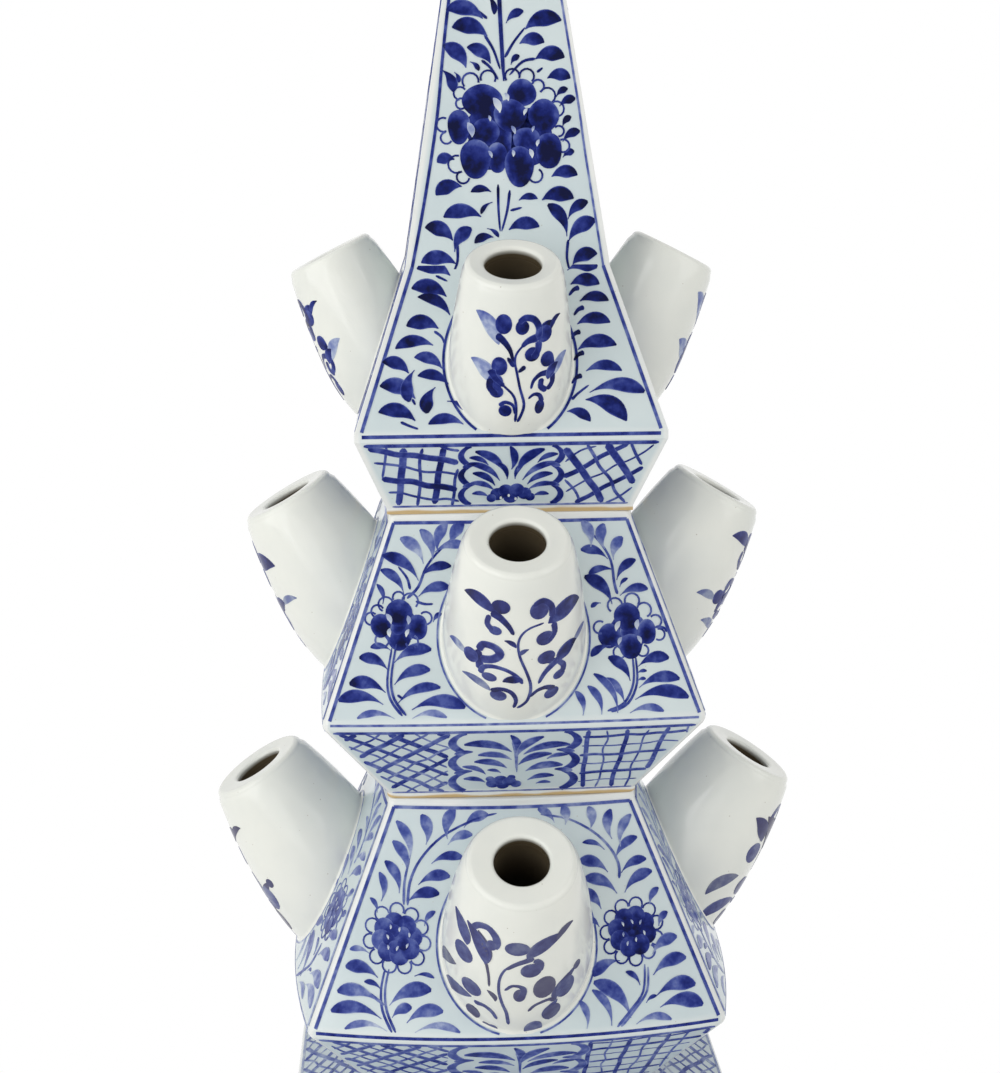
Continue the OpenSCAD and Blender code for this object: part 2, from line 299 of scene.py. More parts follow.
# %% White glaze
white = finish("milk_white_glaze", "white_glaze", Patch_Scale=34)
tree = white.tree
milk = mixed(tree, white.patches, (0.79, 0.805, 0.745), (0.85, 0.857, 0.785))
depth = stepped(tree, marked(tree, "inside"), 0.0, 1.0)
# The bore is olive-brown near the lip and near black deeper in; the darkening with depth is painted shade.
bore_brown_to_painted_shade = mixed(tree, stepped(tree, depth, 0.25, 1.0), (0.085, 0.065, 0.038), (0.014, 0.010, 0.006))
speck = mixed(tree, combined(tree, "MULTIPLY", white.specks, 0.7), milk, (0.34, 0.27, 0.18))
join(tree, (mixed(tree, stepped(tree, depth, 0.0, 0.06), speck, bore_brown_to_painted_shade), white.inputs["Base Color"]),
     (stepped(tree, depth, 0.05, 0.3, 0.16, 0.6), white.inputs["Roughness"]))
print("made", white.material.name)

# %% [markdown]
# Cobalt is painted on before the glaze is fired, so the brushwork shines like the glaze around it.
# A loaded brush leaves a deep blue and a dry or watered one a pale wash. Each stroke carries its
# own tone in an attribute, and cloudy noise breaks it up so that no stroke is one flat blue. Another
# attribute greys it, for the sprigs that came out of the kiln a smoky violet.

# %% Cobalt brushwork
cobalt = finish("cobalt_brush", "cobalt_blue", Patch_Scale=220, Ripple_Scale=90)
tree = cobalt.tree
cloudy = combined(tree, "MULTIPLY", combined(tree, "SUBTRACT", cobalt.patches, 0.5), 0.34)
drawn = combined(tree, "MULTIPLY", cloudy, stepped(tree, marked(tree, "wash"), 0.05, 0.3))
tone = combined(tree, "ADD", marked(tree, "wash"), drawn)
ramp = add(tree, "ShaderNodeValToRGB")
ramp.color_ramp.elements[0].color = (0.72, 0.77, 0.76, 1)
ramp.color_ramp.elements[1].color = (0.003, 0.005, 0.040, 1)
for place, colour in ((0.15, (0.45, 0.51, 0.65, 1)), (0.30, (0.23, 0.28, 0.50, 1)),
                      (0.50, (0.080, 0.112, 0.360, 1)), (0.70, (0.022, 0.036, 0.225, 1)),
                      (0.85, (0.006, 0.013, 0.130, 1))):
    ramp.color_ramp.elements.new(place).color = colour
join(tree, (tone, ramp.inputs["Fac"]))
greyer = mixed(tree, marked(tree, "smoke"), ramp.outputs["Color"], (0.098, 0.091, 0.14))
join(tree, (greyer, cobalt.inputs["Base Color"]),
     (stepped(tree, cobalt.patches, 0, 1, 0.15, 0.24), cobalt.inputs["Roughness"]))
cobalt.inputs["Specular IOR Level"].default_value = 0.10
print("made", cobalt.material.name)

# %% Bare clay
bare_clay = finish("tan_clay", "bare_clay", Patch_Scale=60, Ripple_Scale=900)
tree = bare_clay.tree
earth = mixed(tree, bare_clay.patches, (0.46, 0.33, 0.16), (0.62, 0.48, 0.27))
join(tree, (mixed(tree, bare_clay.specks, earth, (0.22, 0.14, 0.07)), bare_clay.inputs["Base Color"]),
     (stepped(tree, bare_clay.patches, 0, 1, 0.75, 0.92), bare_clay.inputs["Roughness"]))
for node in ("base_collar", "lower_collar", "middle_collar", "lower_floor", "middle_floor", "top_floor"):
    frame["nodes"][node].data.materials.clear()
    frame["nodes"][node].data.materials.append(bare_clay.material)
for made in (painted, white):
    made.inputs["Coat Weight"].default_value = 0.12
    made.inputs["Coat Roughness"].default_value = 0.10
print("made", bare_clay.material.name, "and gave it to the collars and floors")

# %% [markdown]
# ## Measuring the sections
#
# Every width and height is taken from the frame and not typed again, so a change in the CAD model
# moves the dressed model with it. The heights of the lips and bands are the one thing that a box
# can't tell, so they are written here. The sides of the lower tier bow outwards between their
# corners, as slabs do when a heavy spout pulls on them; the bow is read from the frame as well.

# %% Measure the sections
SIDES = {"front": -90, "right": 0, "back": 90, "left": 180}
LIP, BAND, ROOF_BAND = 1.8, 2.9, 4.2


def near(a, b, gap=0.01):
    """Whether two measures in millimetres agree."""
    return abs(a - b) < gap


def ring_at(node, height):
    """The points of a node at one height in millimetres."""
    return [v.co for v in frame["nodes"][node].data.vertices if near(v.co.z / MM, height, 0.05)]


def corner_half(node, height):
    """Half of a node's width at one height, in millimetres."""
    return max(abs(point.x) for point in ring_at(node, height)) / MM


def measure(name):
    """Heights and half widths of one tier in millimetres, from joint to top."""
    skirt_low, skirt_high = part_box(f"{name}_skirt_front")
    wall_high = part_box(f"{name}_wall_front")[1]
    tier = SimpleNamespace(name=name, joint=skirt_low.z / MM, edge_z=skirt_high.z / MM,
                           top_z=wall_high.z / MM)
    tier.band_z = tier.edge_z - BAND
    tier.slope_z = tier.top_z - (0 if name == "top" else LIP)
    tier.foot = corner_half(f"{name}_skirt_front", tier.joint)
    tier.edge = corner_half(f"{name}_skirt_front", tier.edge_z)
    tier.top = corner_half(f"{name}_wall_front", tier.top_z)
    tier.bow = -skirt_low.y / MM - tier.edge
    tier.slope = math.hypot(tier.edge - tier.top, tier.slope_z - tier.edge_z)
    return tier


TIERS = {name: measure(name) for name in ("lower", "middle", "top")}
TIP_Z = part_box("obelisk_slab_front")[1].z / MM
TIP = corner_half("obelisk_slab_front", TIP_Z)
for tier in TIERS.values():
    print({key: round(value, 1) for key, value in vars(tier).items() if key != "name"})


# %% Where a side bows
STRAIGHT = 0.05


def bow_of(tier, half):
    """How far the middle of a side stands out where its corners are at half, in millimetres."""
    if tier.bow < STRAIGHT:
        return 0.0
    back = (tier.edge ** 2 - tier.bow ** 2) / (2 * tier.bow) - tier.edge
    return math.hypot(back + half, half) - back - half


def side_axes(side):
    """The outward direction of a side, and the direction to the right for someone facing it."""
    turn = math.radians(SIDES[side])
    return Vector((math.cos(turn), math.sin(turn), 0)), Vector((-math.sin(turn), math.cos(turn), 0))


for tier in TIERS.values():
    lip = max(-point.y / MM for point in ring_at(f"{tier.name}_wall_front", tier.top_z))
    print(tier.name, "bow at the edge", round(bow_of(tier, tier.edge), 2), "and top",
          round(bow_of(tier, tier.top), 2), "where the frame has", round(lip - tier.top, 2))

# %% [markdown]
# ## Drawing a form upwards
#
# A slab-built vessel is a ring of walls whose outline changes on the way up. It can be made from
# eight loose slabs, or as one skin that is drawn up ring by ring: add a square, extrude its edges,
# scale the new ring, and go on. The skin is one clean surface, so its edges can be rounded all
# round at once. The last ring is bridged back to the first, which makes the wall solid.

# %% Draw a form ring by ring
def only(piece):
    """Selects one object and nothing else."""
    bpy.ops.object.select_all(action="DESELECT")
    piece.select_set(True)
    bpy.context.view_layer.objects.active = piece


def drawn_up(name, rings, cuts=15, sides=0):
    """A solid wall from rings of (half width, height) in millimetres, square, or round with sides."""
    bpy.ops.object.select_all(action="DESELECT")
    half, height = rings[0]
    if sides:
        bpy.ops.mesh.primitive_circle_add(vertices=sides, radius=half * MM, location=(0, 0, height * MM))
    else:
        bpy.ops.mesh.primitive_plane_add(size=2 * half * MM, location=(0, 0, height * MM))
    piece = bpy.context.object
    piece.name = name
    piece.data.name = name
    bpy.ops.object.transform_apply(location=True, rotation=True, scale=True)
    bpy.ops.object.mode_set(mode="EDIT")
    bpy.ops.mesh.select_mode(type="EDGE")
    bpy.ops.mesh.select_all(action="SELECT")
    if not sides:
        bpy.ops.mesh.delete(type="ONLY_FACE")
        bpy.ops.mesh.select_all(action="SELECT")
        bpy.ops.mesh.subdivide(number_cuts=cuts)
    for (half, height), (next_half, next_height) in zip(rings, rings[1:]):
        rise = (0, 0, (next_height - height) * MM)
        bpy.ops.mesh.extrude_edges_move(TRANSFORM_OT_translate={"value": rise})
        grow = next_half / half
        bpy.ops.transform.resize(value=(grow, grow, 1), center_override=(0, 0, 0))
    bpy.ops.mesh.select_all(action="DESELECT")
    bpy.ops.mesh.select_non_manifold(extend=False)
    bpy.ops.mesh.bridge_edge_loops()
    bpy.ops.mesh.select_all(action="SELECT")
    bpy.ops.mesh.normals_make_consistent(inside=False)
    bpy.ops.object.mode_set(mode="OBJECT")
    return piece


def applied(piece, kind, **settings):
    """Adds a modifier, sets it and applies it."""
    only(piece)
    modifier = piece.modifiers.new(kind.lower(), kind)
    for key, value in settings.items():
        setattr(modifier, key, value)
    bpy.ops.object.modifier_apply(modifier=modifier.name)


def smoothed(piece, degrees=40):
    """Smooth shading with crisp folds kept, and the large faces kept flat."""
    only(piece)
    bpy.ops.object.shade_smooth_by_angle(angle=math.radians(degrees))
    applied(piece, "WEIGHTED_NORMAL", keep_sharp=True, weight=60)


def dressed(piece, finish_made, body, *nodes):
    """Gives a piece its material, its body and the nodes that it stands for."""
    piece.data.materials.clear()
    piece.data.materials.append(finish_made.material)
    if nodes:
        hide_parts(*nodes)
    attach(piece, body)
    print(piece.name, len(piece.data.polygons), "faces on", body)


print("ring tools ready")


# %% Round the edges of a square form
def mark(piece, name, value_of):
    """Writes a vertex attribute from a function of a vertex's place in millimetres."""
    layer = piece.data.attributes.new(name, "FLOAT", "POINT")
    layer.data.foreach_set("value", [value_of(v.co / MM) for v in piece.data.vertices])


def nowhere(place):
    """For glaze that is not marked anywhere."""
    return 0.0


def half_of(place):
    """Half the width of the square ring that a place lies on."""
    return max(abs(place.x), abs(place.y))


def fold_weights(piece, ring_weights):
    """Marks the corners, and the rings named by (half width, height), for the bevel."""
    layer = piece.data.attributes.new("bevel_weight_edge", "FLOAT", "EDGE")
    for edge in piece.data.edges:
        a, b = (piece.data.vertices[k].co / MM for k in edge.vertices)
        if near(a.z, b.z) and near(half_of(a), half_of(b)):
            for (ring_half, ring_z), weight in ring_weights.items():
                if near(half_of(a), ring_half, 0.02) and near(a.z, ring_z, 0.02):
                    layer.data[edge.index].value = weight
        elif near(abs(a.x), abs(a.y)) and near(abs(b.x), abs(b.y)):
            layer.data[edge.index].value = 1.0


def bowed(piece, tier):
    """Moves the sides of a square form outwards between their corners."""
    for vertex in piece.data.vertices:
        x, y = vertex.co.x, vertex.co.y
        half = half_of(vertex.co)
        share = 1 - (min(abs(x), abs(y)) / half) ** 2
        out = bow_of(tier, min(half / MM, tier.edge)) * MM * share
        if abs(x) >= abs(y):
            vertex.co.x += math.copysign(out, x)
        else:
            vertex.co.y += math.copysign(out, y)


def slab_form(name, rings, weights, thin, bare, width, cuts=5, tier=None):
    """A square form with its thin and bare glaze marked and its edges rounded; a tier bows its sides."""
    piece = drawn_up(name, rings, cuts)
    mark(piece, "thin", thin)
    mark(piece, "bare", bare)
    fold_weights(piece, weights)
    if tier:
        bowed(piece, tier)
    applied(piece, "BEVEL", width=width * MM, segments=3, limit_method="WEIGHT", use_clamp_overlap=True,
            loop_slide=True)
    return piece


print("edge tools ready")

# %% [markdown]
# ## The three vessels
#
# From the joint upwards a vessel has a low lip, a skirt that leans out, an upright band at its
# widest edge, a wall that leans in, and a lip for the next vessel. The top one has no lip there:
# its wall breaks into a tall obelisk. More rings stand close to the lips and the band, so that the
# paler glaze there fades within a few millimetres.

# %% Vessel walls
WALL, SHORT, ROUNDING = 5.8, 3.6, 2.4
RIM_DEPTH, HOLLOW_TIP = 9, 2.5
SKIRT_RINGS, WALL_RINGS = 4, 9
THIN_ON_BAND, BARE_ON_LIP = 0.55, 0.45


def between(low, high, count):
    """Rings evenly spaced between two rings, so that a bowed slab stays close to its true curve."""
    return [tuple(a + (b - a) * k / (count + 1) for a, b in zip(low, high)) for k in range(1, count + 1)]


def vessel_rings(tier):
    """Outer rings upwards and inner rings downwards, and the weights of the rings to round."""
    out = (tier.edge - tier.foot) / (tier.band_z - tier.joint - LIP)
    lean = (tier.edge - tier.top) / (tier.slope_z - tier.edge_z)
    foot_top = tier.joint + LIP
    skirt_low = (tier.foot + out * SHORT, foot_top + SHORT)
    skirt_high = (tier.edge - out * SHORT, tier.band_z - SHORT)
    wall_low = (tier.edge - lean * SHORT, tier.edge_z + SHORT)
    wall_high = (tier.top + lean * SHORT, tier.slope_z - SHORT)
    fine = tier.bow > STRAIGHT
    rings = [(tier.foot, tier.joint), (tier.foot, foot_top), skirt_low]
    rings += between(skirt_low, skirt_high, SKIRT_RINGS if fine else 0) + [skirt_high]
    rings += [(tier.edge, tier.band_z), (tier.edge, tier.edge_z), wall_low]
    rings += between(wall_low, wall_high, WALL_RINGS if fine else 0) + [wall_high, (tier.top, tier.slope_z)]
    weights = {(tier.foot, tier.joint): 0.25, (tier.foot, foot_top): 0.2, (tier.edge, tier.band_z): 0.36,
               (tier.edge, tier.edge_z): 0.42, (tier.top, tier.slope_z): 0.3}
    if tier.name == "top":
        rings += [(TIP, TIP_Z), (HOLLOW_TIP, TIP_Z), (HOLLOW_TIP, TIP_Z - RIM_DEPTH),
                  (tier.top - WALL, tier.slope_z)]
        weights[(tier.top, tier.slope_z)] = 1.0
        weights[(TIP, TIP_Z)] = 0.5
    else:
        rings += [(tier.top, tier.top_z), (tier.top - WALL, tier.top_z),
                  (tier.top - WALL, tier.slope_z - RIM_DEPTH)]
        weights[(tier.top, tier.top_z)] = 0.3
    rings += [(tier.edge - WALL, tier.edge_z), (tier.foot - WALL, tier.joint)]
    return rings, weights


def thin_glaze(tier):
    """Where the glaze runs thin: white on the lips, and a little paler on the band."""
    lips = [tier.joint, tier.joint + LIP]
    if tier.name != "top":
        lips += [tier.slope_z, tier.top_z]

    def value(place):
        if any(near(place.z, level) for level in lips):
            return 1.0
        return THIN_ON_BAND if near(place.z, tier.band_z) or near(place.z, tier.edge_z) else 0.0

    return value


def bare_foot(tier):
    """Where the glaze stops short: bare clay at the joint, and a wavering edge on the lip above it."""
    def value(place):
        return 1.0 if near(place.z, tier.joint) else BARE_ON_LIP if near(place.z, tier.joint + LIP) else 0.0

    return value


SHELLS = {}
for tier in TIERS.values():
    rings, weights = vessel_rings(tier)
    SHELLS[tier.name] = slab_form(f"{tier.name}_vessel", rings, weights, thin_glaze(tier), bare_foot(tier),
                                  ROUNDING, 15, tier)
print("drew", [shell.name for shell in SHELLS.values()])

# %% [markdown]
# ## Spouts
#
# Each spout was thrown on a wheel: a swelling tube with a rolled lip, cut off slantwise and luted
# onto its wall with slip, which leaves a soft fillet round its foot. A spout can be lathed as one
# closed tube, outside and bore, and then cut with a copy of the vessel's outline. The vessel gets
# the matching hole. One spout per tier is made on the right-hand side and copied to the others.

# %% Spout shapes
SPOUTS = {
    "lower": SimpleNamespace(mouth=19.0, belly=27.25, tuck=0.8, tuck_from=46, tuck_to=70),
    "middle": SimpleNamespace(mouth=18.0, belly=25.5, tuck=2.2, tuck_from=40, tuck_to=63),
    "top": SimpleNamespace(mouth=16.25, belly=22.0, tuck=2.4, tuck_from=36, tuck_to=56),
}
BORE, BELLY_S, UNDER_LIP, SPOUT_LENGTH = 9.5, 58.0, 2.0, 92
RIM, BORE_RIM, THINNEST, SINK = 2.3, 1.5, 2.5, 0.06
DRILL_LENGTH, DRILL_DOWN, CLEAR = 90, 60, 0.05
MOUNTS = {mount["name"]: mount for mount in frame["record"]["mounts"]}
for name, spout in SPOUTS.items():
    mount = MOUNTS[f"{name}_stem_right"]
    spout.tier = TIERS[name]
    spout.axis = Vector(mount["axis"])
    spout.centre = Vector(mount["pos_m"]) / MM + spout.axis * UNDER_LIP
    print(name, "mouth at", [round(x, 1) for x in spout.centre], "lean",
          round(math.degrees(spout.axis.angle(UP)), 1))


def spout_radius(spout, s):
    """Outside radius at s millimetres below the mouth: a swelling arc, tucked in at the foot."""
    swell = spout.belly - spout.mouth
    arc = (swell * swell + BELLY_S * BELLY_S) / (2 * swell)
    tuck = spout.tuck * max((s - spout.tuck_from) / (spout.tuck_to - spout.tuck_from), 0) ** 2
    return max(spout.belly - arc + math.sqrt(arc * arc - (BELLY_S - s) ** 2) - tuck, BORE + THINNEST)


def spout_frame(spout, side):
    """The mouth's centre, the direction of its outer lip, the direction to the right, and the axis."""
    out, along = side_axes(side)
    lean = spout.axis.angle(UP)
    axis = out * math.sin(lean) + UP * math.cos(lean)
    lip = out * math.cos(lean) - UP * math.sin(lean)
    return out * spout.centre.x + UP * spout.centre.z, lip, along, axis


def spout_matrix(spout, side, s=0):
    """The place and turn of a spout's axis at s millimetres below the mouth."""
    centre, lip, along, axis = spout_frame(spout, side)
    return Matrix.Translation((centre - axis * s) * MM) @ Matrix((lip, along, axis)).transposed().to_4x4()


def spout_point(spout, side, angle, s, lift=0.0):
    """A point on a spout, in millimetres; angle runs to the right from its outermost line."""
    centre, lip, along, axis = spout_frame(spout, side)
    radius = spout_radius(spout, s) + lift
    return centre - axis * s + (lip * math.cos(angle) + along * math.sin(angle)) * radius


# %% Where a spout meets its wall
def wall_out(tier, sideways, height):
    """How far out the face of a tier's wall stands, sideways from the middle and at one height."""
    rise = (height - tier.edge_z) / (tier.slope_z - tier.edge_z)
    half = tier.edge + (tier.top - tier.edge) * rise
    return half + bow_of(tier, half) * (1 - (sideways / half) ** 2)


def seam(spout, angle):
    """The distance below the mouth at which a line down the spout reaches the wall."""
    low, high = 6.0, SPOUT_LENGTH
    for _ in range(40):
        s = (low + high) / 2
        place = spout_point(spout, "right", angle, s)
        if place.x > wall_out(spout.tier, place.y, place.z):
            low = s
        else:
            high = s
    return low


def on_wall(tier, sideways, height, lift=0.0):
    """A point on the right-hand wall in millimetres."""
    normal = Vector((tier.slope_z - tier.edge_z, 0, tier.edge - tier.top)).normalized()
    return Vector((wall_out(tier, sideways, height), sideways, height)) + normal * lift


SEAM_STEPS = 72
for spout in SPOUTS.values():
    angles = [k * math.tau / SEAM_STEPS for k in range(SEAM_STEPS)]
    spout.seam = [(angle, seam(spout, angle)) for angle in angles]
    feet = [spout_point(spout, "right", angle, s) for angle, s in spout.seam]
    spout.seam_middle = sum(feet, Vector()) / len(feet)
    print(spout.tier.name, "seam from", round(min(p.z for p in feet), 1), "to",
          round(max(p.z for p in feet), 1), "wide", round(2 * max(p.y for p in feet), 1))


# %% Lathe the spouts
def spout_rings(spout):
    """Rings up the outside, over the rim and down the bore, as (radius, height)."""
    rings = [(spout_radius(spout, s), -s) for s in range(SPOUT_LENGTH, 3, -4)]
    edge = spout.mouth - RIM
    rings += [(edge + RIM * math.cos(math.radians(a)), -RIM + RIM * math.sin(math.radians(a)))
              for a in (0, 15, 30, 45, 60, 75, 88)]
    inner = BORE + BORE_RIM
    rings += [(inner - BORE_RIM * math.sin(math.radians(a)),
               -BORE_RIM - 0.3 + BORE_RIM * math.cos(math.radians(a))) for a in (2, 30, 60, 90)]
    return rings + [(BORE, -s) for s in (6, 10, 16, 26, 40, 60, SPOUT_LENGTH)]


def depth_inside(place):
    """How deep a point of the bore lies, from 0 at the lip to 1 far down."""
    if math.hypot(place.x, place.y) > BORE + 0.6 * BORE_RIM:
        return 0.0
    return min(max((-place.z - 1.0) / 30, 0), 1)


def cut_with(piece, tool):
    """Cuts a piece with a tool and removes the tool."""
    applied(piece, "BOOLEAN", object=tool, operation="DIFFERENCE", solver="EXACT")
    bpy.data.objects.remove(tool, do_unlink=True)


def vessel_core(tier):
    """The vessel's outline as a full solid, a little inside its face, with all below the band."""
    inset, past, under, above, needle = 1.2, 60, 0.4, 40, 0.5
    low, high = (tier.edge - inset, tier.edge_z), (tier.top - inset, tier.slope_z)
    rings = [(tier.edge + past, tier.edge_z - past), (tier.edge + past, tier.edge_z - under),
             (tier.edge - inset, tier.edge_z - under), low]
    rings += between(low, high, WALL_RINGS if tier.bow > STRAIGHT else 0) + [high]
    end, end_z = (TIP, TIP_Z) if tier.name == "top" else (tier.top, tier.top_z + above)
    rings += [(end - inset, end_z), (needle, end_z), (needle, tier.edge_z - past)]
    core = drawn_up("core", rings)
    bowed(core, tier)
    return core


for name, spout in SPOUTS.items():
    tube = drawn_up(f"{name}_spout", spout_rings(spout), sides=56)
    mark(tube, "inside", depth_inside)
    tube.matrix_world = spout_matrix(spout, "right")
    only(tube)
    bpy.ops.object.transform_apply(location=True, rotation=True, scale=True)
    cut_with(tube, vessel_core(spout.tier))
    spout.tube = tube
    print(tube.name, len(tube.data.polygons), "faces after the cut")

# %% [markdown]
# The fillet of slip is a ring with a hollow curve for its section. Each station has one point a
# little way up the spout and one on the wall, and the curve between them bends towards the seam.
# There is no operator that draws such a ring along two surfaces, so its points are set in code.

# %% Slip fillets and copies
def slip_section(spout, angle, s, reach=1.3):
    """One closed section of the fillet: the hollow curve, then a point buried in the seam."""
    tier = spout.tier
    foot = spout_point(spout, "right", angle, s)
    middle = spout.seam_middle
    away = Vector((0, foot.y - middle.y, foot.z - middle.z)).normalized()
    low_z = max(foot.z + away.z * reach * 0.8, tier.edge_z + 0.5)
    on_slab = on_wall(tier, foot.y + away.y * reach, low_z, -SINK)
    on_tube = spout_point(spout, "right", angle, s - reach, -SINK)
    section = []
    for k in range(6):
        t = k / 5
        section.append(on_tube * (1 - t) ** 2 + foot * 2 * t * (1 - t) + on_slab * t * t)
    buried = foot + (middle - foot).normalized() * 1.5 - Vector((1.0, 0, 0))
    return section + [buried]


def from_points(name, points, faces):
    """A new object from points and faces, selected on its own."""
    mesh = bpy.data.meshes.new(name)
    mesh.from_pydata(points, [], faces)
    piece = bpy.data.objects.new(name, mesh)
    bpy.context.scene.collection.objects.link(piece)
    only(piece)
    return piece


def slip_ring(name, spout):
    """The fillet as a closed ring of sections."""
    sections = [slip_section(spout, angle, s) for angle, s in spout.seam]
    size = len(sections[0])
    points = [p * MM for section in sections for p in section]
    faces = []
    for k in range(SEAM_STEPS):
        for j in range(size):
            a, b = k * size + j, k * size + (j + 1) % size
            step = (k + 1) % SEAM_STEPS * size - k * size
            faces.append((a, b, b + step, a + step))
    ring = from_points(name, points, faces)
    bpy.ops.object.mode_set(mode="EDIT")
    bpy.ops.mesh.select_all(action="SELECT")
    bpy.ops.mesh.normals_make_consistent(inside=False)
    bpy.ops.object.mode_set(mode="OBJECT")
    mark(ring, "inside", nowhere)
    return ring


def turned_copy(piece, name, side):
    """A copy with its own mesh, turned from the right-hand side to another one."""
    only(piece)
    bpy.ops.object.duplicate()
    copy = bpy.context.object
    copy.name = name
    copy.data.name = name
    copy.matrix_world = Matrix.Rotation(math.radians(SIDES[side]), 4, "Z")
    only(copy)
    bpy.ops.object.transform_apply(location=True, rotation=True, scale=True)
    return copy


BODIES = {"lower": "lower_tier", "middle": "middle_tier", "top": "obelisk_tier"}
for name, spout in SPOUTS.items():
    ring = slip_ring(f"{name}_slip", spout)
    only(spout.tube)
    ring.select_set(True)
    bpy.ops.object.join()
    smoothed(spout.tube, 35)
    for side in SIDES:
        copy = turned_copy(spout.tube, f"{name}_spout_{side}_glazed", side)
        dressed(copy, white, BODIES[name], f"{name}_spout_{side}")
    bpy.data.objects.remove(spout.tube, do_unlink=True)

# %% Holes under the spouts
for name, spout in SPOUTS.items():
    shell = SHELLS[name]
    for side in SIDES:
        bpy.ops.object.select_all(action="DESELECT")
        bpy.ops.mesh.primitive_cylinder_add(vertices=40, radius=(BORE + CLEAR) * MM, depth=DRILL_LENGTH * MM)
        drill = bpy.context.object
        drill.matrix_world = spout_matrix(spout, side, DRILL_DOWN)
        cut_with(shell, drill)
    smoothed(shell, 40)
    nodes = [f"{name}_{kind}_{side}" for kind in ("wall", "skirt") for side in SIDES]
    if name == "top":
        nodes += [f"obelisk_slab_{side}" for side in SIDES]
    dressed(shell, painted, BODIES[name], *nodes)

# %% [markdown]
# ## Plinth
#
# The stack stands on a square box of its own: four bracket feet, walls that flare upwards, and a
# low hipped roof with the seat for the lower vessel. The arches between the feet are cut with a
# bevelled bar, and the roof is a closed ring because the collar comes up through its middle.

# %% Measure the plinth
def node_half(node):
    """Half of a node's width, in millimetres."""
    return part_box(node)[1].x / MM


FOOT_LOW, FOOT_HIGH = (corner.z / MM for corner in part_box("base_foot"))
ROOF_LOW, ROOF_HIGH = (corner.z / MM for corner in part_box("base_roof"))
ROOF_HALF, SEAT_HALF = node_half("base_roof"), corner_half("base_roof", ROOF_HIGH)
ROOF_EDGE = ROOF_LOW + ROOF_BAND
FOOT_HALF = node_half("base_foot")
WALL_LOW, WALL_TOP = corner_half("base_wall_front", FOOT_HIGH), corner_half("base_wall_front", ROOF_LOW)
COLLAR = node_half("base_collar")
PLINTH_ROUNDING, SEAT_DEPTH, BARE_HALF = 2.2, 7.8, 50
ARCH_W, ARCH_H, ARCH_LONG = 96.0, 12.0, 0.4
print("plinth from", FOOT_LOW, "to", ROOF_HIGH, "mm")

# %% Plinth foot
foot_rings = [(FOOT_HALF, FOOT_LOW), (FOOT_HALF, 5.5), (FOOT_HALF - 1.2, 7.5), (WALL_LOW + 3.4, 15),
              (WALL_LOW + 1.6, 21.5), (WALL_LOW + 1.6, FOOT_HIGH), (WALL_LOW - WALL, FOOT_HIGH),
              (WALL_LOW - WALL, FOOT_LOW)]
foot = slab_form("plinth_foot", foot_rings,
                 {foot_rings[0]: 0.3, foot_rings[1]: 0.3, foot_rings[5]: 0.4, foot_rings[4]: 0.3},
                 lambda place: float(near(place.z, FOOT_LOW) or near(place.z, FOOT_HIGH)),
                 lambda place: float(near(place.z, FOOT_LOW)), PLINTH_ROUNDING)
for turn in (0, 90):
    bpy.ops.object.select_all(action="DESELECT")
    bpy.ops.mesh.primitive_cube_add(size=1)
    arch = bpy.context.object
    arch.scale = (ARCH_W * MM, ARCH_LONG, 2 * ARCH_H * MM)
    arch.rotation_euler = (0, 0, math.radians(turn))
    bpy.ops.object.transform_apply(location=True, rotation=True, scale=True)
    layer = arch.data.attributes.new("bevel_weight_edge", "FLOAT", "EDGE")
    for edge in arch.data.edges:
        a, b = (arch.data.vertices[k].co for k in edge.vertices)
        run = abs(a.y - b.y) if turn == 0 else abs(a.x - b.x)
        layer.data[edge.index].value = float(run > ARCH_LONG / 2 and a.z > 0)
    applied(arch, "BEVEL", width=ARCH_H / 2 * MM, segments=6, limit_method="WEIGHT")
    cut_with(foot, arch)
smoothed(foot)
dressed(foot, painted, "plinth", "base_foot")

# %% Plinth walls and roof
wall_rings = [(WALL_LOW, FOOT_HIGH), (WALL_TOP, ROOF_LOW), (WALL_TOP - WALL, ROOF_LOW),
              (WALL_LOW - WALL, FOOT_HIGH)]
walls = slab_form("plinth_walls", wall_rings, {}, nowhere, nowhere, PLINTH_ROUNDING)
smoothed(walls)
dressed(walls, painted, "plinth", *[f"base_wall_{side}" for side in SIDES])

fall = (ROOF_HIGH - ROOF_EDGE) / (ROOF_HALF - SEAT_HALF)
roof_rings = [(ROOF_HALF, ROOF_LOW), (ROOF_HALF, ROOF_EDGE), (ROOF_HALF - SHORT, ROOF_EDGE + SHORT * fall),
              (SEAT_HALF, ROOF_HIGH), (COLLAR + CLEAR, ROOF_HIGH), (COLLAR + CLEAR, ROOF_HIGH - SEAT_DEPTH),
              (WALL_TOP - WALL, ROOF_LOW)]
roof = slab_form("plinth_roof", roof_rings, {roof_rings[0]: 0.5, roof_rings[1]: 0.7, roof_rings[3]: 0.3},
                 lambda place: float(near(place.z, ROOF_LOW) or near(place.z, ROOF_EDGE)),
                 lambda place: float(near(place.z, ROOF_HIGH) and half_of(place) < BARE_HALF), ROUNDING)
smoothed(roof)
dressed(roof, painted, "plinth", "base_roof")

# %% [markdown]
# ## Finial
#
# The obelisk ends in a small ball on a neck. It is lathed like the spouts, with a hair-thin hole
# up its axis so that the same ring tool can close it.

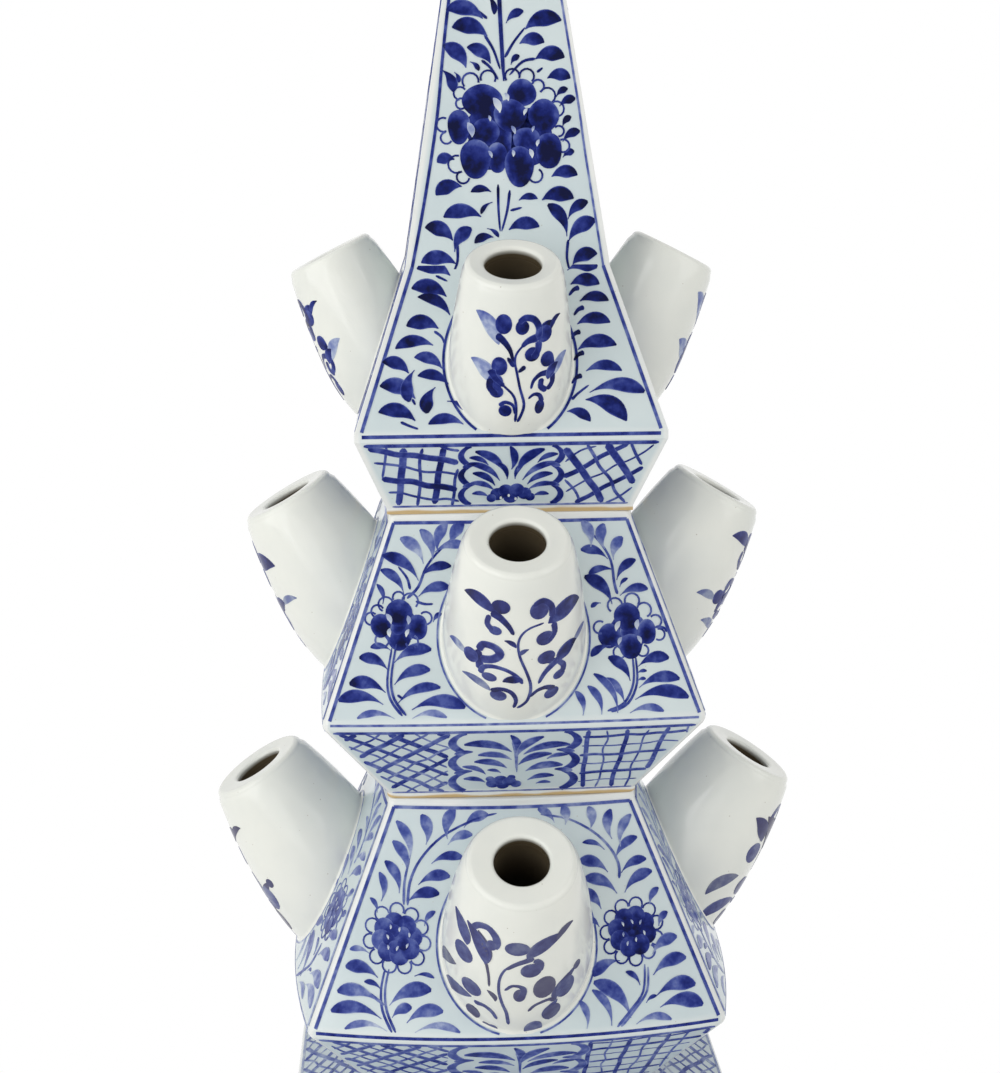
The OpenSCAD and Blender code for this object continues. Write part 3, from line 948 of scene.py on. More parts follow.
# %% Finial
FINIAL_LOW, FINIAL_HIGH = (corner.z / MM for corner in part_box("obelisk_finial"))
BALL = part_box("obelisk_finial")[1].x / MM
ball_z = FINIAL_HIGH - BALL
finial_rings = [(0.2, FINIAL_LOW - 0.4), (TIP - 1.0, FINIAL_LOW - 0.4), (TIP - 0.9, FINIAL_LOW + 1.2),
                (TIP - 1.6, FINIAL_LOW + 2.3), (TIP - 3.2, FINIAL_LOW + 2.9), (5.4, FINIAL_LOW + 4.0),
                (5.0, FINIAL_LOW + 5.4)]
finial_rings += [(BALL * math.cos(math.radians(a)), ball_z + BALL * math.sin(math.radians(a)))
                 for a in (-58, -48, -36, -24, -12, 0, 12, 24, 36, 48, 60, 72, 82, 88.9)]
finial = drawn_up("finial_ball", finial_rings, sides=40)
mark(finial, "inside", nowhere)
smoothed(finial, 50)
dressed(finial, white, "obelisk_tier", "obelisk_finial")

# %% [markdown]
# ## The brush
#
# The painter works with a few marks. A leaf is one press of a loaded brush, thin at its tail and
# full before its tip. A stem is a line that tapers. A dab makes a petal or a bud, and the tip of
# the brush draws the small scallops round a flower. Painting could be a texture, but strokes with
# edges of their own stay sharp at any distance, so each one is a thin ribbon laid just over the
# glaze. A broad ribbon is paler along its rims, where the wet cobalt bled into the glaze.

# %% Brush marks
FINE = ((1, 0.9), (0, 1), (-1, 0.9))


def stroke(path, widths, tone, loose=1.0, fade=0.0, rim=0.66):
    """A ribbon of (u, v, tone) rows along a path in millimetres; fade shifts its tone by its end."""
    rows = []
    last = len(path) - 1
    broad = ((1, rim), (0.76, 1), (0, 1), (-0.76, 1), (-1, rim))
    for k, (u, v) in enumerate(path):
        before, after = path[max(k - 1, 0)], path[min(k + 1, last)]
        du, dv = after[0] - before[0], after[1] - before[1]
        size = math.hypot(du, dv) or 1
        su, sv = -dv / size * widths[k] / 2, du / size * widths[k] / 2
        shade = tone + fade * k / last
        rows.append([(u + su * c, v + sv * c, shade * t) for c, t in (broad if max(widths) > 1.4 else FINE)])
    return SimpleNamespace(rows=rows, loose=loose, level=1)


def at_level(level, strokes):
    """Puts strokes under (0) or over (2) the others, which are laid in the order they were painted."""
    for one in strokes:
        one.level = level
    return strokes


FULL, POINTED, MOON = (0.15, 1.65, 0.955), (0.15, 0.85, 0.99), (0.17, 1.25, 0.985)


def leaf(u0, v0, u1, v1, width, tone=0.84, rise=FULL[0], belly=FULL[1], tip=FULL[2]):
    """One press of the brush from tail to tip, arched upwards.

    A large belly is fuller near the tip, and a tip close to 1 ends in a point.
    """
    length = math.hypot(u1 - u0, v1 - v0)
    nu, nv = -(v1 - v0) / length, (u1 - u0) / length
    if nv < 0:
        nu, nv = -nu, -nv
    path, widths = [], []
    for k in range(13):
        t = k / 12
        arch = 4 * t * (1 - t) * rise * length
        path.append((u0 + (u1 - u0) * t + nu * arch, v0 + (v1 - v0) * t + nv * arch))
        widths.append(max(width * math.sin(math.pi * tip * t ** belly) ** 0.8, 0.3))
    return stroke(path, widths, tone - 0.14, fade=0.22)


def smooth_path(points, steps=4):
    """A rounded path through a few points."""
    path = []
    for k in range(len(points) - 1):
        a, b = points[max(k - 1, 0)], points[k]
        c, d = points[k + 1], points[min(k + 2, len(points) - 1)]
        for j in range(steps):
            t = j / steps
            path.append(tuple(0.5 * (2 * q + (r - p) * t + (2 * p - 5 * q + 4 * r - s) * t * t
                                     + (3 * q - p - 3 * r + s) * t ** 3) for p, q, r, s in zip(a, b, c, d)))
    return path + [tuple(points[-1])]


def stem(points, width=1.1, end=0.7, tone=0.82, loose=1.0, blunt=False):
    """A line through a few points that goes from width to end; blunt keeps its ends square."""
    path = smooth_path(points)
    last = len(path) - 1
    widths = [width + (end - width) * k / last for k in range(last + 1)]
    if not blunt:
        widths[0] *= 0.4
        widths[-1] *= 0.4
    return stroke(path, widths, tone, loose)


def disc(u, v, radius, tone, tall=1.0, fade=-0.14):
    """A dab, painted from its foot to its top."""
    path, widths = [], []
    for k in range(10):
        a = math.pi * (0.05 + 0.90 * k / 9)
        path.append((u, v - radius * tall * math.cos(a)))
        widths.append(2 * radius * math.sin(a))
    return stroke(path, widths, tone, fade=fade, rim=0.86)


def petal(u, v, wide, tall, tone):
    """A rounded petal, pale along its rim, with a dark heart where the cobalt pooled."""
    rows = []
    sway = math.sin(7 * u + 3 * v)
    for k in range(13):
        a = math.pi * (0.04 + 0.92 * k / 12)
        bulge = 1 + 0.08 * math.sin(2 * a + 4 * sway)
        row = []
        for c in (-1, -0.84, -0.56, -0.28, 0, 0.28, 0.56, 0.84, 1):
            x, y = c * math.sin(a), -math.cos(a)
            far = math.hypot(x - 0.25 * sway, y + 0.2)
            row.append((u + wide * x * bulge, v + tall * y, tone + 0.1 - 0.36 * far ** 1.7))
        rows.append(row)
    return SimpleNamespace(rows=rows, loose=1.0, level=1)


def glint(u, v, radius):
    """A sliver of glaze left between petals, slanting one way or the other by its place."""
    lean = radius * math.sin(5 * u + 2 * v)
    return leaf(u - lean, v - 1.8 * radius, u + lean, v + 2.0 * radius, 1.9 * radius, 0.18, 0.1, 1.1, 0.98)


def scallop(u, v, radius, facing, width, tone, sweep=230):
    """A small open arc that faces away from the flower."""
    count = max(int(sweep / 24), 5)
    angles = [math.radians(facing - sweep / 2 + sweep * k / count) for k in range(count + 1)]
    path = [(u + radius * math.cos(a), v + radius * math.sin(a)) for a in angles]
    return stroke(path, [width] * len(path), tone)


print("a leaf has", len(leaf(0, 0, 10, 0, 3).rows), "rows")


# %% Drawings from lists
def drawing(stems=(), hooks=(), beds=(), petals=(), gaps=(), buds=(), scallops=(), leaves=(), moons=(),
            pale=(), flip=1, dark=0.84, wash=0.30, brush=1.0, shape=FULL):
    """Strokes from lists of points; flip is -1 where the lists count downwards."""
    def line(points, *widths, tone=dark):
        return stem([(u, flip * v) for u, v in points], *widths, tone=tone)

    def press(u0, v0, u1, v1, width, tone=dark, form=shape):
        return leaf(u0, flip * v0, u1, flip * v1, width, tone, *form)

    made = [press(*entry, wash) for entry in pale]
    made += [line(points, tone=dark - 0.05) for points in stems]
    made += at_level(0, [disc(u, flip * v, wide, dark - 0.12, tall / wide, 0.06)
                         for u, v, wide, tall in beds])
    made += [petal(u, flip * v, wide, tall, max(dark, 0.8) + 0.06) for u, v, wide, tall in petals]
    made += at_level(2, [glint(u, flip * v, radius) for u, v, radius in gaps])
    made += [scallop(u, flip * v, radius, facing, 0.7, dark - 0.1) for u, v, radius, facing in scallops]
    made += [line(*entry) for entry in hooks]
    made += [disc(u, flip * v, wide, dark, tall / wide) for u, v, wide, tall in buds]
    made += [press(*ends, width * brush) for *ends, width in leaves]
    for u0, v0, u1, v1, width in moons:
        inner, outer = sorted(((u0, v0), (u1, v1)), key=lambda point: abs(point[0]))
        made.append(press(*inner, *outer, 0.96 * width, form=MOON))
    return made


def bloom(u, v, size=1.0, turn=0, dark=0.86):
    """A full flower: dark petals close together, a few glints, and a ring of scallops."""
    def spot(degrees, across, up):
        a = math.radians(degrees)
        return u + across * size * math.cos(a), v + up * size * math.sin(a)

    made = at_level(0, [disc(u, v, 6.6 * size, dark - 0.08)])
    made += [disc(*spot(turn + 45 * k, 5.8, 5.6), 3.7 * size, dark + 0.1, 1, -0.26) for k in range(8)]
    for k in range(11):
        facing = turn + 16 + 360 / 11 * k
        made.append(scallop(*spot(facing, 9.8, 9.8), 2.55 * size, facing, 0.65, dark - 0.08))
    made += [disc(*spot(turn + 30 + 72 * k, 3.0, 3.0), 2.3 * size, dark + 0.12, 1, -0.2) for k in range(5)]
    for k in range(7):
        reach = (4.6, 3.4)[k % 2]
        made += at_level(2, [glint(*spot(turn + 10 + 360 / 7 * k, reach, reach), 0.42 * size)])
    return made


print("a full flower has", len(bloom(0, 0)), "strokes")


# %% Surfaces to paint on
def slab_surface(side, low, high, tier=None):
    """Places (u, v) on a slab: u to the right from its middle, v up the slope from its lower edge."""
    out, along = side_axes(side)
    (half_low, z_low), (half_high, z_high) = low, high
    slope = math.hypot(half_high - half_low, z_high - z_low)
    normal = (out * (z_high - z_low) - UP * (half_high - half_low)) / slope

    def place(u, v, lift):
        rise = v / slope
        half = half_low + (half_high - half_low) * rise
        bow = bow_of(tier, half) * (1 - (u / half) ** 2) if tier else 0
        return (out * (half + bow) + along * u + UP * (z_low + (z_high - z_low) * rise) + normal * lift) * MM

    return place


UNROLL = 22.0


def spout_surface(spout, side):
    """Places (u, v) on a spout: u round it from its outermost line, v up to 0 at the mouth."""
    return lambda u, v, lift: spout_point(spout, side, u / UNROLL, -v, lift) * MM


def panel_surface(tier, side):
    """The sloping wall of a tier."""
    return slab_surface(side, (tier.edge, tier.edge_z), (tier.top, tier.slope_z), tier)


def band_surface(tier, side):
    """The upright band at a tier's widest edge."""
    return slab_surface(side, (tier.edge, tier.band_z), (tier.edge, tier.edge_z), tier)


def skirt_surface(tier, side):
    """The skirt of a tier, from its foot up to the band."""
    return slab_surface(side, (tier.foot, tier.joint + LIP), (tier.edge, tier.band_z), tier)


UNDER, FIRST, EACH, OVER = 0.05, 0.08, 0.012, 0.262
LAYERS, THICKNESS = 14, 0.26


def paint(name, body, jobs, seed, spread, smoke=0.0, load=1.0):
    """One piece of brushwork from pairs of a surface and its strokes, with a hand's small slips.

    Strokes painted one after the other lie a hair higher in turn, so that no two share a surface.
    Spread is how far the hand slips and smoke how grey the cobalt is; a paling under 1 makes every tone
    paler, as painted glare.
    """
    hand, greys = random.Random(seed), random.Random(seed + 100)
    points, faces, wash, grey = [], [], [], []
    for place, strokes in jobs:
        for count, one in enumerate(strokes):
            lift = (UNDER, FIRST + EACH * (count % LAYERS), OVER)[one.level]
            slip_u, slip_v = (hand.uniform(-spread, spread) * one.loose for _ in range(2))
            slip_tone = hand.uniform(-0.08, 0.08)
            start, wide = len(points), len(one.rows[0])
            mist = smoke * greys.uniform(0.6, 1.4)
            for row in one.rows:
                points += [place(u + slip_u, v + slip_v, lift) for u, v, tone in row]
                wash += [min(max(load * tone + slip_tone, 0), 1) if tone else 0.0 for u, v, tone in row]
            grey += [mist] * (wide * len(one.rows))
            for k in range(len(one.rows) - 1):
                for c in range(wide - 1):
                    a = start + wide * k + c
                    faces.append((a, a + 1, a + wide + 1, a + wide))
    piece = from_points(name, points, faces)
    for key, values in (("wash", wash), ("smoke", grey)):
        piece.data.attributes.new(key, "FLOAT", "POINT").data.foreach_set("value", values)
    applied(piece, "SOLIDIFY", thickness=THICKNESS * MM, offset=-1)
    bpy.ops.object.shade_smooth_by_angle(angle=math.radians(30))
    dressed(piece, cobalt, body)


print("surfaces ready")

# %% [markdown]
# ## Frames and lattices
#
# Each panel is framed by a thin line a little way in from its edges. The skirts have a lattice at
# both ends, one square and one slanting, and between two scalloped lines a fan of leaves rises
# from half a flower. The lines and lattices are regular, so they come from loops; the fans and the
# half flowers are listed one by one.

# %% Frames and lattices
def ruled(half, v, width, tone, loose=0.15, blunt=True):
    """A level line at the height v, reaching half to both sides."""
    return stem([(half * k / 8, v) for k in range(-8, 9)], width, width, tone, loose, blunt)


def frame_lines(low_half, high_half, slope, inset, low=0.6, high=1.4, width=1.0, ends="both", tone=0.72):
    """The thin lines up a slab that narrows or widens upwards, and across both, the high or no ends."""
    def half(v):
        return low_half + (high_half - low_half) * v / slope - inset

    rises = [low + (slope - high - low) * k / 6 for k in range(7)]
    lines = [stem([(side * half(v), v) for v in rises], width, width, tone, 0.15, True) for side in (-1, 1)]
    if ends == "both":
        lines.append(ruled(half(low), low, width, tone))
    if ends in ("both", "high"):
        lines.append(ruled(half(slope - high), slope - high, width, tone))
    return lines


def steps(low, high, size):
    """Even steps from low to high."""
    count = max(int((high - low) / size), 1)
    return [low + (high - low) * k / count for k in range(count + 1)]


def kept(run, inside):
    """The stretches of a run of points that lie inside."""
    parts, part = [], []
    for point in run:
        if inside(*point):
            part.append(point)
        elif part:
            parts.append(part)
            part = []
    return parts + [part] if part else parts


def lattice(inside, families, seed=5, tone=0.78):
    """Lines by hand, bold and thin in turn, kept where inside(u, v) is true.

    A family is a place on one of its lines, their angle, its change per line, the pitch and the width.
    """
    hand = random.Random(seed)
    lines = []
    for (u, v), angle, fan, pitch, bold in families:
        aside = math.radians(angle - 90)
        for k in range(-24, 25):
            turn = math.radians(angle + fan * k)
            at_u = u + math.cos(aside) * pitch / 2 * k
            at_v = v + math.sin(aside) * pitch / 2 * k
            run = [(at_u + math.cos(turn) * t, at_v + math.sin(turn) * t) for t in steps(-160, 160, 0.8)]
            width, shade, sway = ((bold, tone, 0.4), (0.42 * bold, tone - 0.10, 0.75))[k % 2]
            for part in kept(run, inside):
                if len(part) > 3:
                    count = max(round(len(part) / 7), 2)
                    spots = [part[round((len(part) - 1) * spot / count)] for spot in range(count + 1)]
                    spots = [tuple(x + hand.uniform(-sway, sway) for x in spot) for spot in spots]
                    start, end = (width * hand.uniform(0.85, 1.15) for _ in range(2))
                    lines.append(stem(spots, start, end, shade, 0.2))
    return lines


print("a slanting lattice of 30 by 30 mm has",
      len(lattice(lambda u, v: abs(u) < 15 and 0 < v < 30, [((0, 0), 40, 0, 10, 2)])), "lines")


# %% Skirts
WIDE_FAN = [(-1, 24, -17, 28.6, 4.2), (0.2, 23, -1.6, 33.5, 2.8), (1, 22, 9.4, 32.4, 3.6),
            (3, 22.5, 18.4, 27.4, 3.8), (-1, 19.6, -12.4, 22.6, 3.2), (1.6, 16.6, 12.6, 22.6, 3.4),
            (11, 19.5, 18, 21.6, 2.2), (-2.4, 14.6, -13.6, 18.6, 3.6), (4, 12.6, 16.6, 15.6, 4.2),
            (-9.6, 11.2, -17.6, 16, 2.6), (-4.4, 11.8, -9, 13.6, 1.8), (-9.6, 6.4, -17, 8.6, 2.6),
            (5, 7.2, 14, 9.4, 2.8), (8, 5, 13, 5.4, 1.8)]
WIDE_FLOWER = [(-7, 5.6, 2.4), (-3.6, 4.6, 2.2), (1, 5, 1.9), (-4.4, 7.6, 2.4), (-1.4, 6.8, 2.4),
               (-0.6, 9, 1.4), (-8, 8.4, 1.5)]
TOP_FAN = [(0, 16, -0.6, 25.4, 2.8), (2, 15, 11.4, 24.2, 3.6), (1.4, 12, 5, 19, 1.9),
           (4, 11.4, 16.6, 18.6, 2.6), (9, 18.6, 16, 22, 2.2), (5.6, 9.6, 14.4, 14, 2.6),
           (6, 7.4, 16, 9.4, 2.1), (8, 4.8, 13.4, 5.4, 1.8), (-2.4, 15, -12.6, 23.4, 3.4),
           (-1.4, 12, -4.6, 19, 1.9), (-4, 11.4, -15.4, 18.6, 2.6), (-8, 18, -14.6, 21, 2),
           (-5.6, 9.4, -13.4, 14.6, 2.6), (-6, 7.4, -14.4, 10.4, 2.2), (-8, 4.8, -13.6, 6, 1.8)]
TOP_FLOWER = [(-6.8, 4.2, 1.7), (6.8, 4.4, 1.7), (0, 4.6, 2.6), (-4.6, 5.8, 2.6), (4.7, 6, 2.5),
              (-1.8, 7.2, 2.6), (2, 7.4, 2.7)]
WIDE_LATTICES = ([((-36, 20), -34, 0, 9.4, 2.0), ((-42, 20), 41, 0, 10.8, 2.0)],
                 [((25.5, 12), 90, -3.1, 11.5, 1.7), ((25, 22), 2, 0, 11, 1.3)])
TOP_LATTICES = ([((-38.5, 12), 83, 0, 13, 2.5), ((-38.5, 12), -11, 0, 10.8, 2.2)],
                [((25, 14), -58, 0, 13, 2.6), ((38, 11), 32, 0, 11.5, 1.8)])
WIDE_SLOPE, TOP_SLOPE, SKIRT_INSET = 37, 27.7, 3.4


def cartouche(edge, low, high, size, tone):
    """A scalloped upright line in three bulges, with a spear pointing inwards at each cusp."""
    side = math.copysign(1, edge)
    rise = (high - low) / 3
    path = [(edge + side * 4.4 * size * abs(math.sin(math.pi * (v - low) / rise)) ** 0.8, v)
            for v in steps(low, high, rise / 12)]
    widths = [(1.7 + 1.4 * abs(math.sin(math.pi * (v - low) / rise + 0.4))) * size for _, v in path]
    made = [stroke(path, widths, tone, 0.2)]
    for cusp in (low + rise, low + 2 * rise):
        made.append(leaf(edge + side * 3.6 * size, cusp - 0.6, edge - side * 2.6 * size, cusp + 0.6,
                         2.4 * size, tone, 0.05, 0.75))
    return made


def skirt_drawing(low_half, high_half, slope, is_top=False, dark=0.8):
    """A skirt: lattices at the ends, scalloped lines, and a fan of leaves over half a flower."""
    size = slope / WIDE_SLOPE
    middle = (19.0 if is_top else 16.6) * size
    fan, flower, scale = (TOP_FAN, TOP_FLOWER, slope / TOP_SLOPE) if is_top else (WIDE_FAN, WIDE_FLOWER, size)

    def half(v):
        return low_half + (high_half - low_half) * v / slope - SKIRT_INSET

    low, high = 1.4, slope - 1.8
    outer = middle + 5.4 * size
    left, right = TOP_LATTICES if is_top else WIDE_LATTICES
    lines = lattice(lambda u, v: low < v < high and -half(v) < u < -outer, left, 5, dark)
    lines += lattice(lambda u, v: low < v < high and outer < u < half(v), right, 6, dark)
    for side in (-1, 1):
        lines += cartouche(side * middle, low, high, size, dark)
    lines += [leaf(*(x * scale for x in entry), dark, 0.14, 1.2) for entry in fan]
    if not is_top:
        lines += [stem([(u * size, v * size) for u, v in run], 0.8, 0.6, dark - 0.1)
                  for run in ([(-1, 30), (0.2, 23), (0.8, 14)], [(0.8, 26), (0.8, 20), (1, 12)])]
    lines += [disc(u * scale, v * scale, r * scale, dark + 0.1, 1, -0.2) for u, v, r in flower]
    lines += [disc(u * size, v * size, 0.55 * size, 0.1, 1.5) for u, v in ((-4.6, 5.6), (-1, 6.8), (2.4, 5))]
    lines.append(ruled(half(high) + 0.9, slope - 1.4, 1.4, dark - 0.06, blunt=False))
    lines.append(ruled(half(low) + 0.9, 1.1, 0.7, 0.45, blunt=False))
    return lines


print("a skirt takes", len(skirt_drawing(43, 67, 38)), "strokes")

# %% [markdown]
# ## Plants on the panels
#
# Every panel has two flowering plants, one on each side of its spout. The marks below are given
# in millimetres from the middle of a panel and up from its lower edge: stems first,
# then petals, then the leaves from tail to tip with the width of the brush.

# %% Plants of the lower tier
LOWER_PANEL = drawing(
    stems=[[(-44, 1), (-47, 8), (-47.5, 15), (-46, 22)], [(-45.4, 1), (-48.6, 8), (-49, 15), (-47.5, 22)],
           [(-39, 44), (-38, 52), (-34, 60), (-26, 68), (-14, 74), (-6, 76)],
           [(-40.4, 44), (-40, 52), (-38, 60)], [(35, 1), (40, 6), (45, 12), (46, 21)],
           [(36.4, 1), (41.4, 6), (46.4, 12), (47.2, 20)],
           [(38, 51), (38, 56), (35, 62), (29, 68), (20, 73), (10, 75)],
           [(-48, 10), (-52, 13), (-54, 14)]],
    leaves=[(-50, 19, -61.5, 22, 5.2), (-50, 11, -64.5, 13.6, 5.2), (-49, 5.4, -67, 7, 5),
            (-49, 15, -55, 17.5, 2.2), (-46, 10, -31, 15.5, 6), (-45, 6, -38, 9.5, 4.2),
            (-40, 4.4, -27, 8.4, 5.2), (-37, 20, -30, 19.5, 1.8), (-42, 48, -47, 59, 4.2),
            (-39, 55, -44, 66, 4.4), (-39, 45, -27.5, 48, 4.6), (-35, 51, -23.5, 54, 4.6),
            (-30, 58.5, -18.5, 60.5, 3.8), (-48.5, 45, -49, 55, 3.2), (-33, 37, -29, 42, 2.4),
            (49, 24, 58.5, 29, 4.8), (49, 17, 61.5, 21.5, 5.2), (50, 10, 64.5, 12, 5.8),
            (51, 6, 67, 5, 6), (40, 3.5, 27, 16.5, 6), (37, 23, 27, 18.5, 4.8), (31, 41, 23.5, 47.5, 4.8),
            (30, 35, 25.5, 38, 2.6), (40, 46, 50.5, 52.5, 4.6), (39, 53, 48.5, 57, 3.8),
            (37, 58, 45.5, 65, 3.8), (37, 46, 25, 52, 4.8), (34, 53.5, 23.5, 58, 4.8),
            (33, 61.5, 25, 64.5, 2.2), (49, 41, 52.5, 46.5, 3), (52, 33.5, 55.5, 38, 3),
            (44, 14, 39, 19, 2.2), (46, 8, 50, 10, 1.6), (-50, 41, -52.5, 46, 2)],
    pale=[(-47, 1.4, -62, 1.4, 2.6), (-53, 27, -60, 28, 2.2), (-37, 1.2, -21, 1.4, 2.8),
          (-38, 59, -42.5, 73, 3.8), (-32, 65, -33.5, 75.5, 4.4), (-24, 67, -21, 77.5, 4.4),
          (-24, 65, -15, 68.5, 3.4), (42, 1.2, 55, 1.4, 2.8), (33, 1.6, 26.5, 14, 3),
          (24, 1.2, 21.6, 10.6, 2.6), (39, 62, 43.5, 73, 3.6), (36, 65, 36, 75.5, 3.8),
          (28, 69, 27.5, 77, 3.8), (19, 71, 18, 77.5, 3.8), (15, 72, 9, 77, 3), (-18, 71, -9, 75.5, 4)],
    dark=0.58, wash=0.42, brush=0.9)
LOWER_PANEL += bloom(-43, 32.5, 0.98, 8, 0.68) + bloom(42, 32.5, 0.95, 30, 0.80)
print("lower panel:", len(LOWER_PANEL), "strokes")

# %% Plants of the middle tier
MIDDLE_PANEL = drawing(
    stems=[[(-38, 2.4), (-42, 8), (-43, 15), (-41, 27)],
           [(-39.4, 2.4), (-43.4, 8), (-44.4, 15), (-42.6, 26)],
           [(-37, 43), (-33, 47), (-30, 54), (-25, 60), (-17, 67)], [(-41, 9.5), (-39, 8)],
           [(-36, 46), (-37, 50), (-40, 54)], [(-34, 42), (-31, 41), (-28, 41)],
           [(32, 2.4), (38, 5), (41.5, 12), (41.5, 21)], [(33.4, 2.2), (39.4, 5), (42.8, 12), (42.6, 21)],
           [(37, 43), (36, 47), (35, 55), (31, 62), (25, 68)], [(50, 31), (53, 30.5), (54, 29)]],
    beds=[(-40, 33.5, 6.4, 6.6), (40.5, 29.6, 6.8, 6.8)],
    petals=[(-40.3, 33.6, 2.8, 3.4), (-40, 38, 4.4, 4.8), (-46.5, 33.5, 3.4, 4.2), (-33.5, 33, 3.7, 4.4),
            (-40, 29, 4, 4.2), (40.4, 29.6, 3, 3.6), (40, 35, 4.4, 5), (33.5, 28.5, 3.7, 4.4),
            (47, 29.5, 3.4, 4.4), (41, 24.5, 4.2, 4.4)],
    gaps=[(-43.6, 35.8, 0.9), (-36.8, 35.4, 0.8), (-43.2, 31, 0.8), (-37, 30.8, 0.7), (36.8, 31.6, 0.9),
          (43.8, 32, 0.9), (37.4, 26.4, 0.7), (44.2, 26.8, 0.7)],
    scallops=[(-44.6, 41, 2.6, 130), (-36, 42, 2.8, 70), (-49.6, 36, 2.2, 160), (-47.4, 38.6, 2.2, 140),
              (-30.6, 36, 2.2, 20), (-40, 43.4, 2.0, 90), (-35.6, 28, 2.2, -50), (-46, 28.6, 2.4, 220),
              (36, 39, 2.6, 120), (42, 40.6, 2.6, 80), (46.2, 37, 2.6, 50), (30.4, 31.6, 2.2, 170),
              (50.2, 33, 2.2, 20), (51.4, 28.4, 2.0, -10), (37, 22.6, 2.2, 230), (45.4, 23, 2.0, -40)],
    leaves=[(-43, 25, -50, 26, 2.8), (-44, 18, -54, 22.5, 4.6), (-45, 10.5, -57.5, 13.5, 5.4),
            (-46, 6.2, -61.5, 7.6, 5.2), (-42, 20.5, -29, 25, 5), (-42, 13, -29.5, 18, 4.8),
            (-41, 6.5, -26, 12, 4), (-36, 4.5, -17.5, 5, 5.6), (-33, 43.5, -22, 46.5, 4.4),
            (-32, 50.5, -21.5, 54, 3.8), (-33, 49, -45.5, 58, 5), (-38, 44.5, -46, 53, 4),
            (-45.5, 41, -47.5, 48, 2.2), (-28, 34.5, -25, 37.5, 2.2), (43.5, 17.5, 54.5, 20, 4.8),
            (43.5, 10, 58, 12.5, 4.8), (42, 6, 61, 6, 5.4), (40.5, 12.5, 33, 21, 4.4),
            (38, 5, 31, 13.5, 3.8), (35.6, 1.6, 27.6, 15.4, 3.2), (34, 25, 27, 21.5, 3.2),
            (35, 39.5, 25.5, 49.5, 5.4), (38, 42.5, 48, 44.5, 3.8), (37, 48, 44, 55, 3.8),
            (36, 51.5, 27, 50.5, 3), (34, 55.5, 24.5, 59, 4), (31, 40, 27.5, 38.5, 2),
            (43, 15, 46.5, 15.8, 1.5), (43, 12.4, 46, 13, 1.5), (38, 45.5, 41, 48.5, 1.6)],
    pale=[(-42, 1.4, -55, 1.6, 2.6), (-36, 1.4, -24, 1.6, 2.6), (-31, 55, -39, 64, 4.4),
          (-28, 56, -32, 67, 4), (-26, 59, -22.5, 69, 4), (-21, 61, -16.5, 69, 4.4),
          (-27, 59, -16, 61, 3.4), (40, 1.4, 52, 1.6, 2.8), (30, 1.4, 25.4, 11.4, 2.8),
          (23.4, 1.2, 21, 9.6, 2.6), (36, 55, 39.5, 63, 4), (33, 59, 33, 68, 4), (28, 60, 25, 69, 4)],
    dark=0.69, wash=0.44, brush=0.88)
print("middle panel:", len(MIDDLE_PANEL), "strokes")

# %% [markdown]
# The top tier's panel runs on into the obelisk without a line between them. Crescent leaves climb
# both edges, and a large open flower sits low on the obelisk with a stem that goes on to the tip.

# %% Leaves of the top tier and the obelisk
TOP_PANEL = drawing(
    moons=[(-31.5, 57.5, -20, 55, 5.6), (-33.5, 50.5, -21.5, 47.5, 5.8), (-31.5, 47.5, -20.5, 41, 4.2),
           (-35.5, 37.5, -24.5, 36.5, 5.6), (-39.5, 29.5, -26.5, 30.5, 4.6), (-44, 25, -35, 21, 4.8),
           (-33, 26.5, -23.5, 22.5, 4.4), (-45, 16.5, -33, 12, 6), (-32, 20, -21.5, 17, 4),
           (-45.5, 7.5, -33, 4.4, 5.4), (-28.5, 3.2, -16.5, 3, 4), (21.5, 51.5, 31.5, 51.5, 5),
           (24.5, 45.5, 34.5, 45.6, 4), (23.5, 37.5, 35, 38, 4.6), (23.5, 28.5, 37, 30, 5.2),
           (26, 21, 38.5, 21, 4), (25.5, 11, 39.5, 3.4, 6.4), (19, 7, 27, 3.4, 3.8)],
    leaves=[(-33, 22, -35, 11, 4.6), (-26, 16, -29, 7, 4.8), (27, 13.5, 46, 13.5, 5.2),
            (-22, 11, -15, 7, 2.2), (20.5, 56.5, 31, 57.5, 5.2)],
    stems=[[(-25, 55), (-21, 53)], [(-26, 35.5), (-23.5, 33.5), (-22.5, 31)],
           [(21, 11), (23, 13), (27, 16)], [(-38, 4), (-35, 2.6), (-32, 1.5)], [(-34, 12), (-33, 10)]],
    hooks=[([(u, v), (u + 1.6, v + 2), (u + 3.6, v + 2.8)], 0.7, 2.0)
           for u, v in ((21, 47.5), (22.4, 40.5), (21, 32), (22, 24.8), (21, 16.6))], dark=0.82)

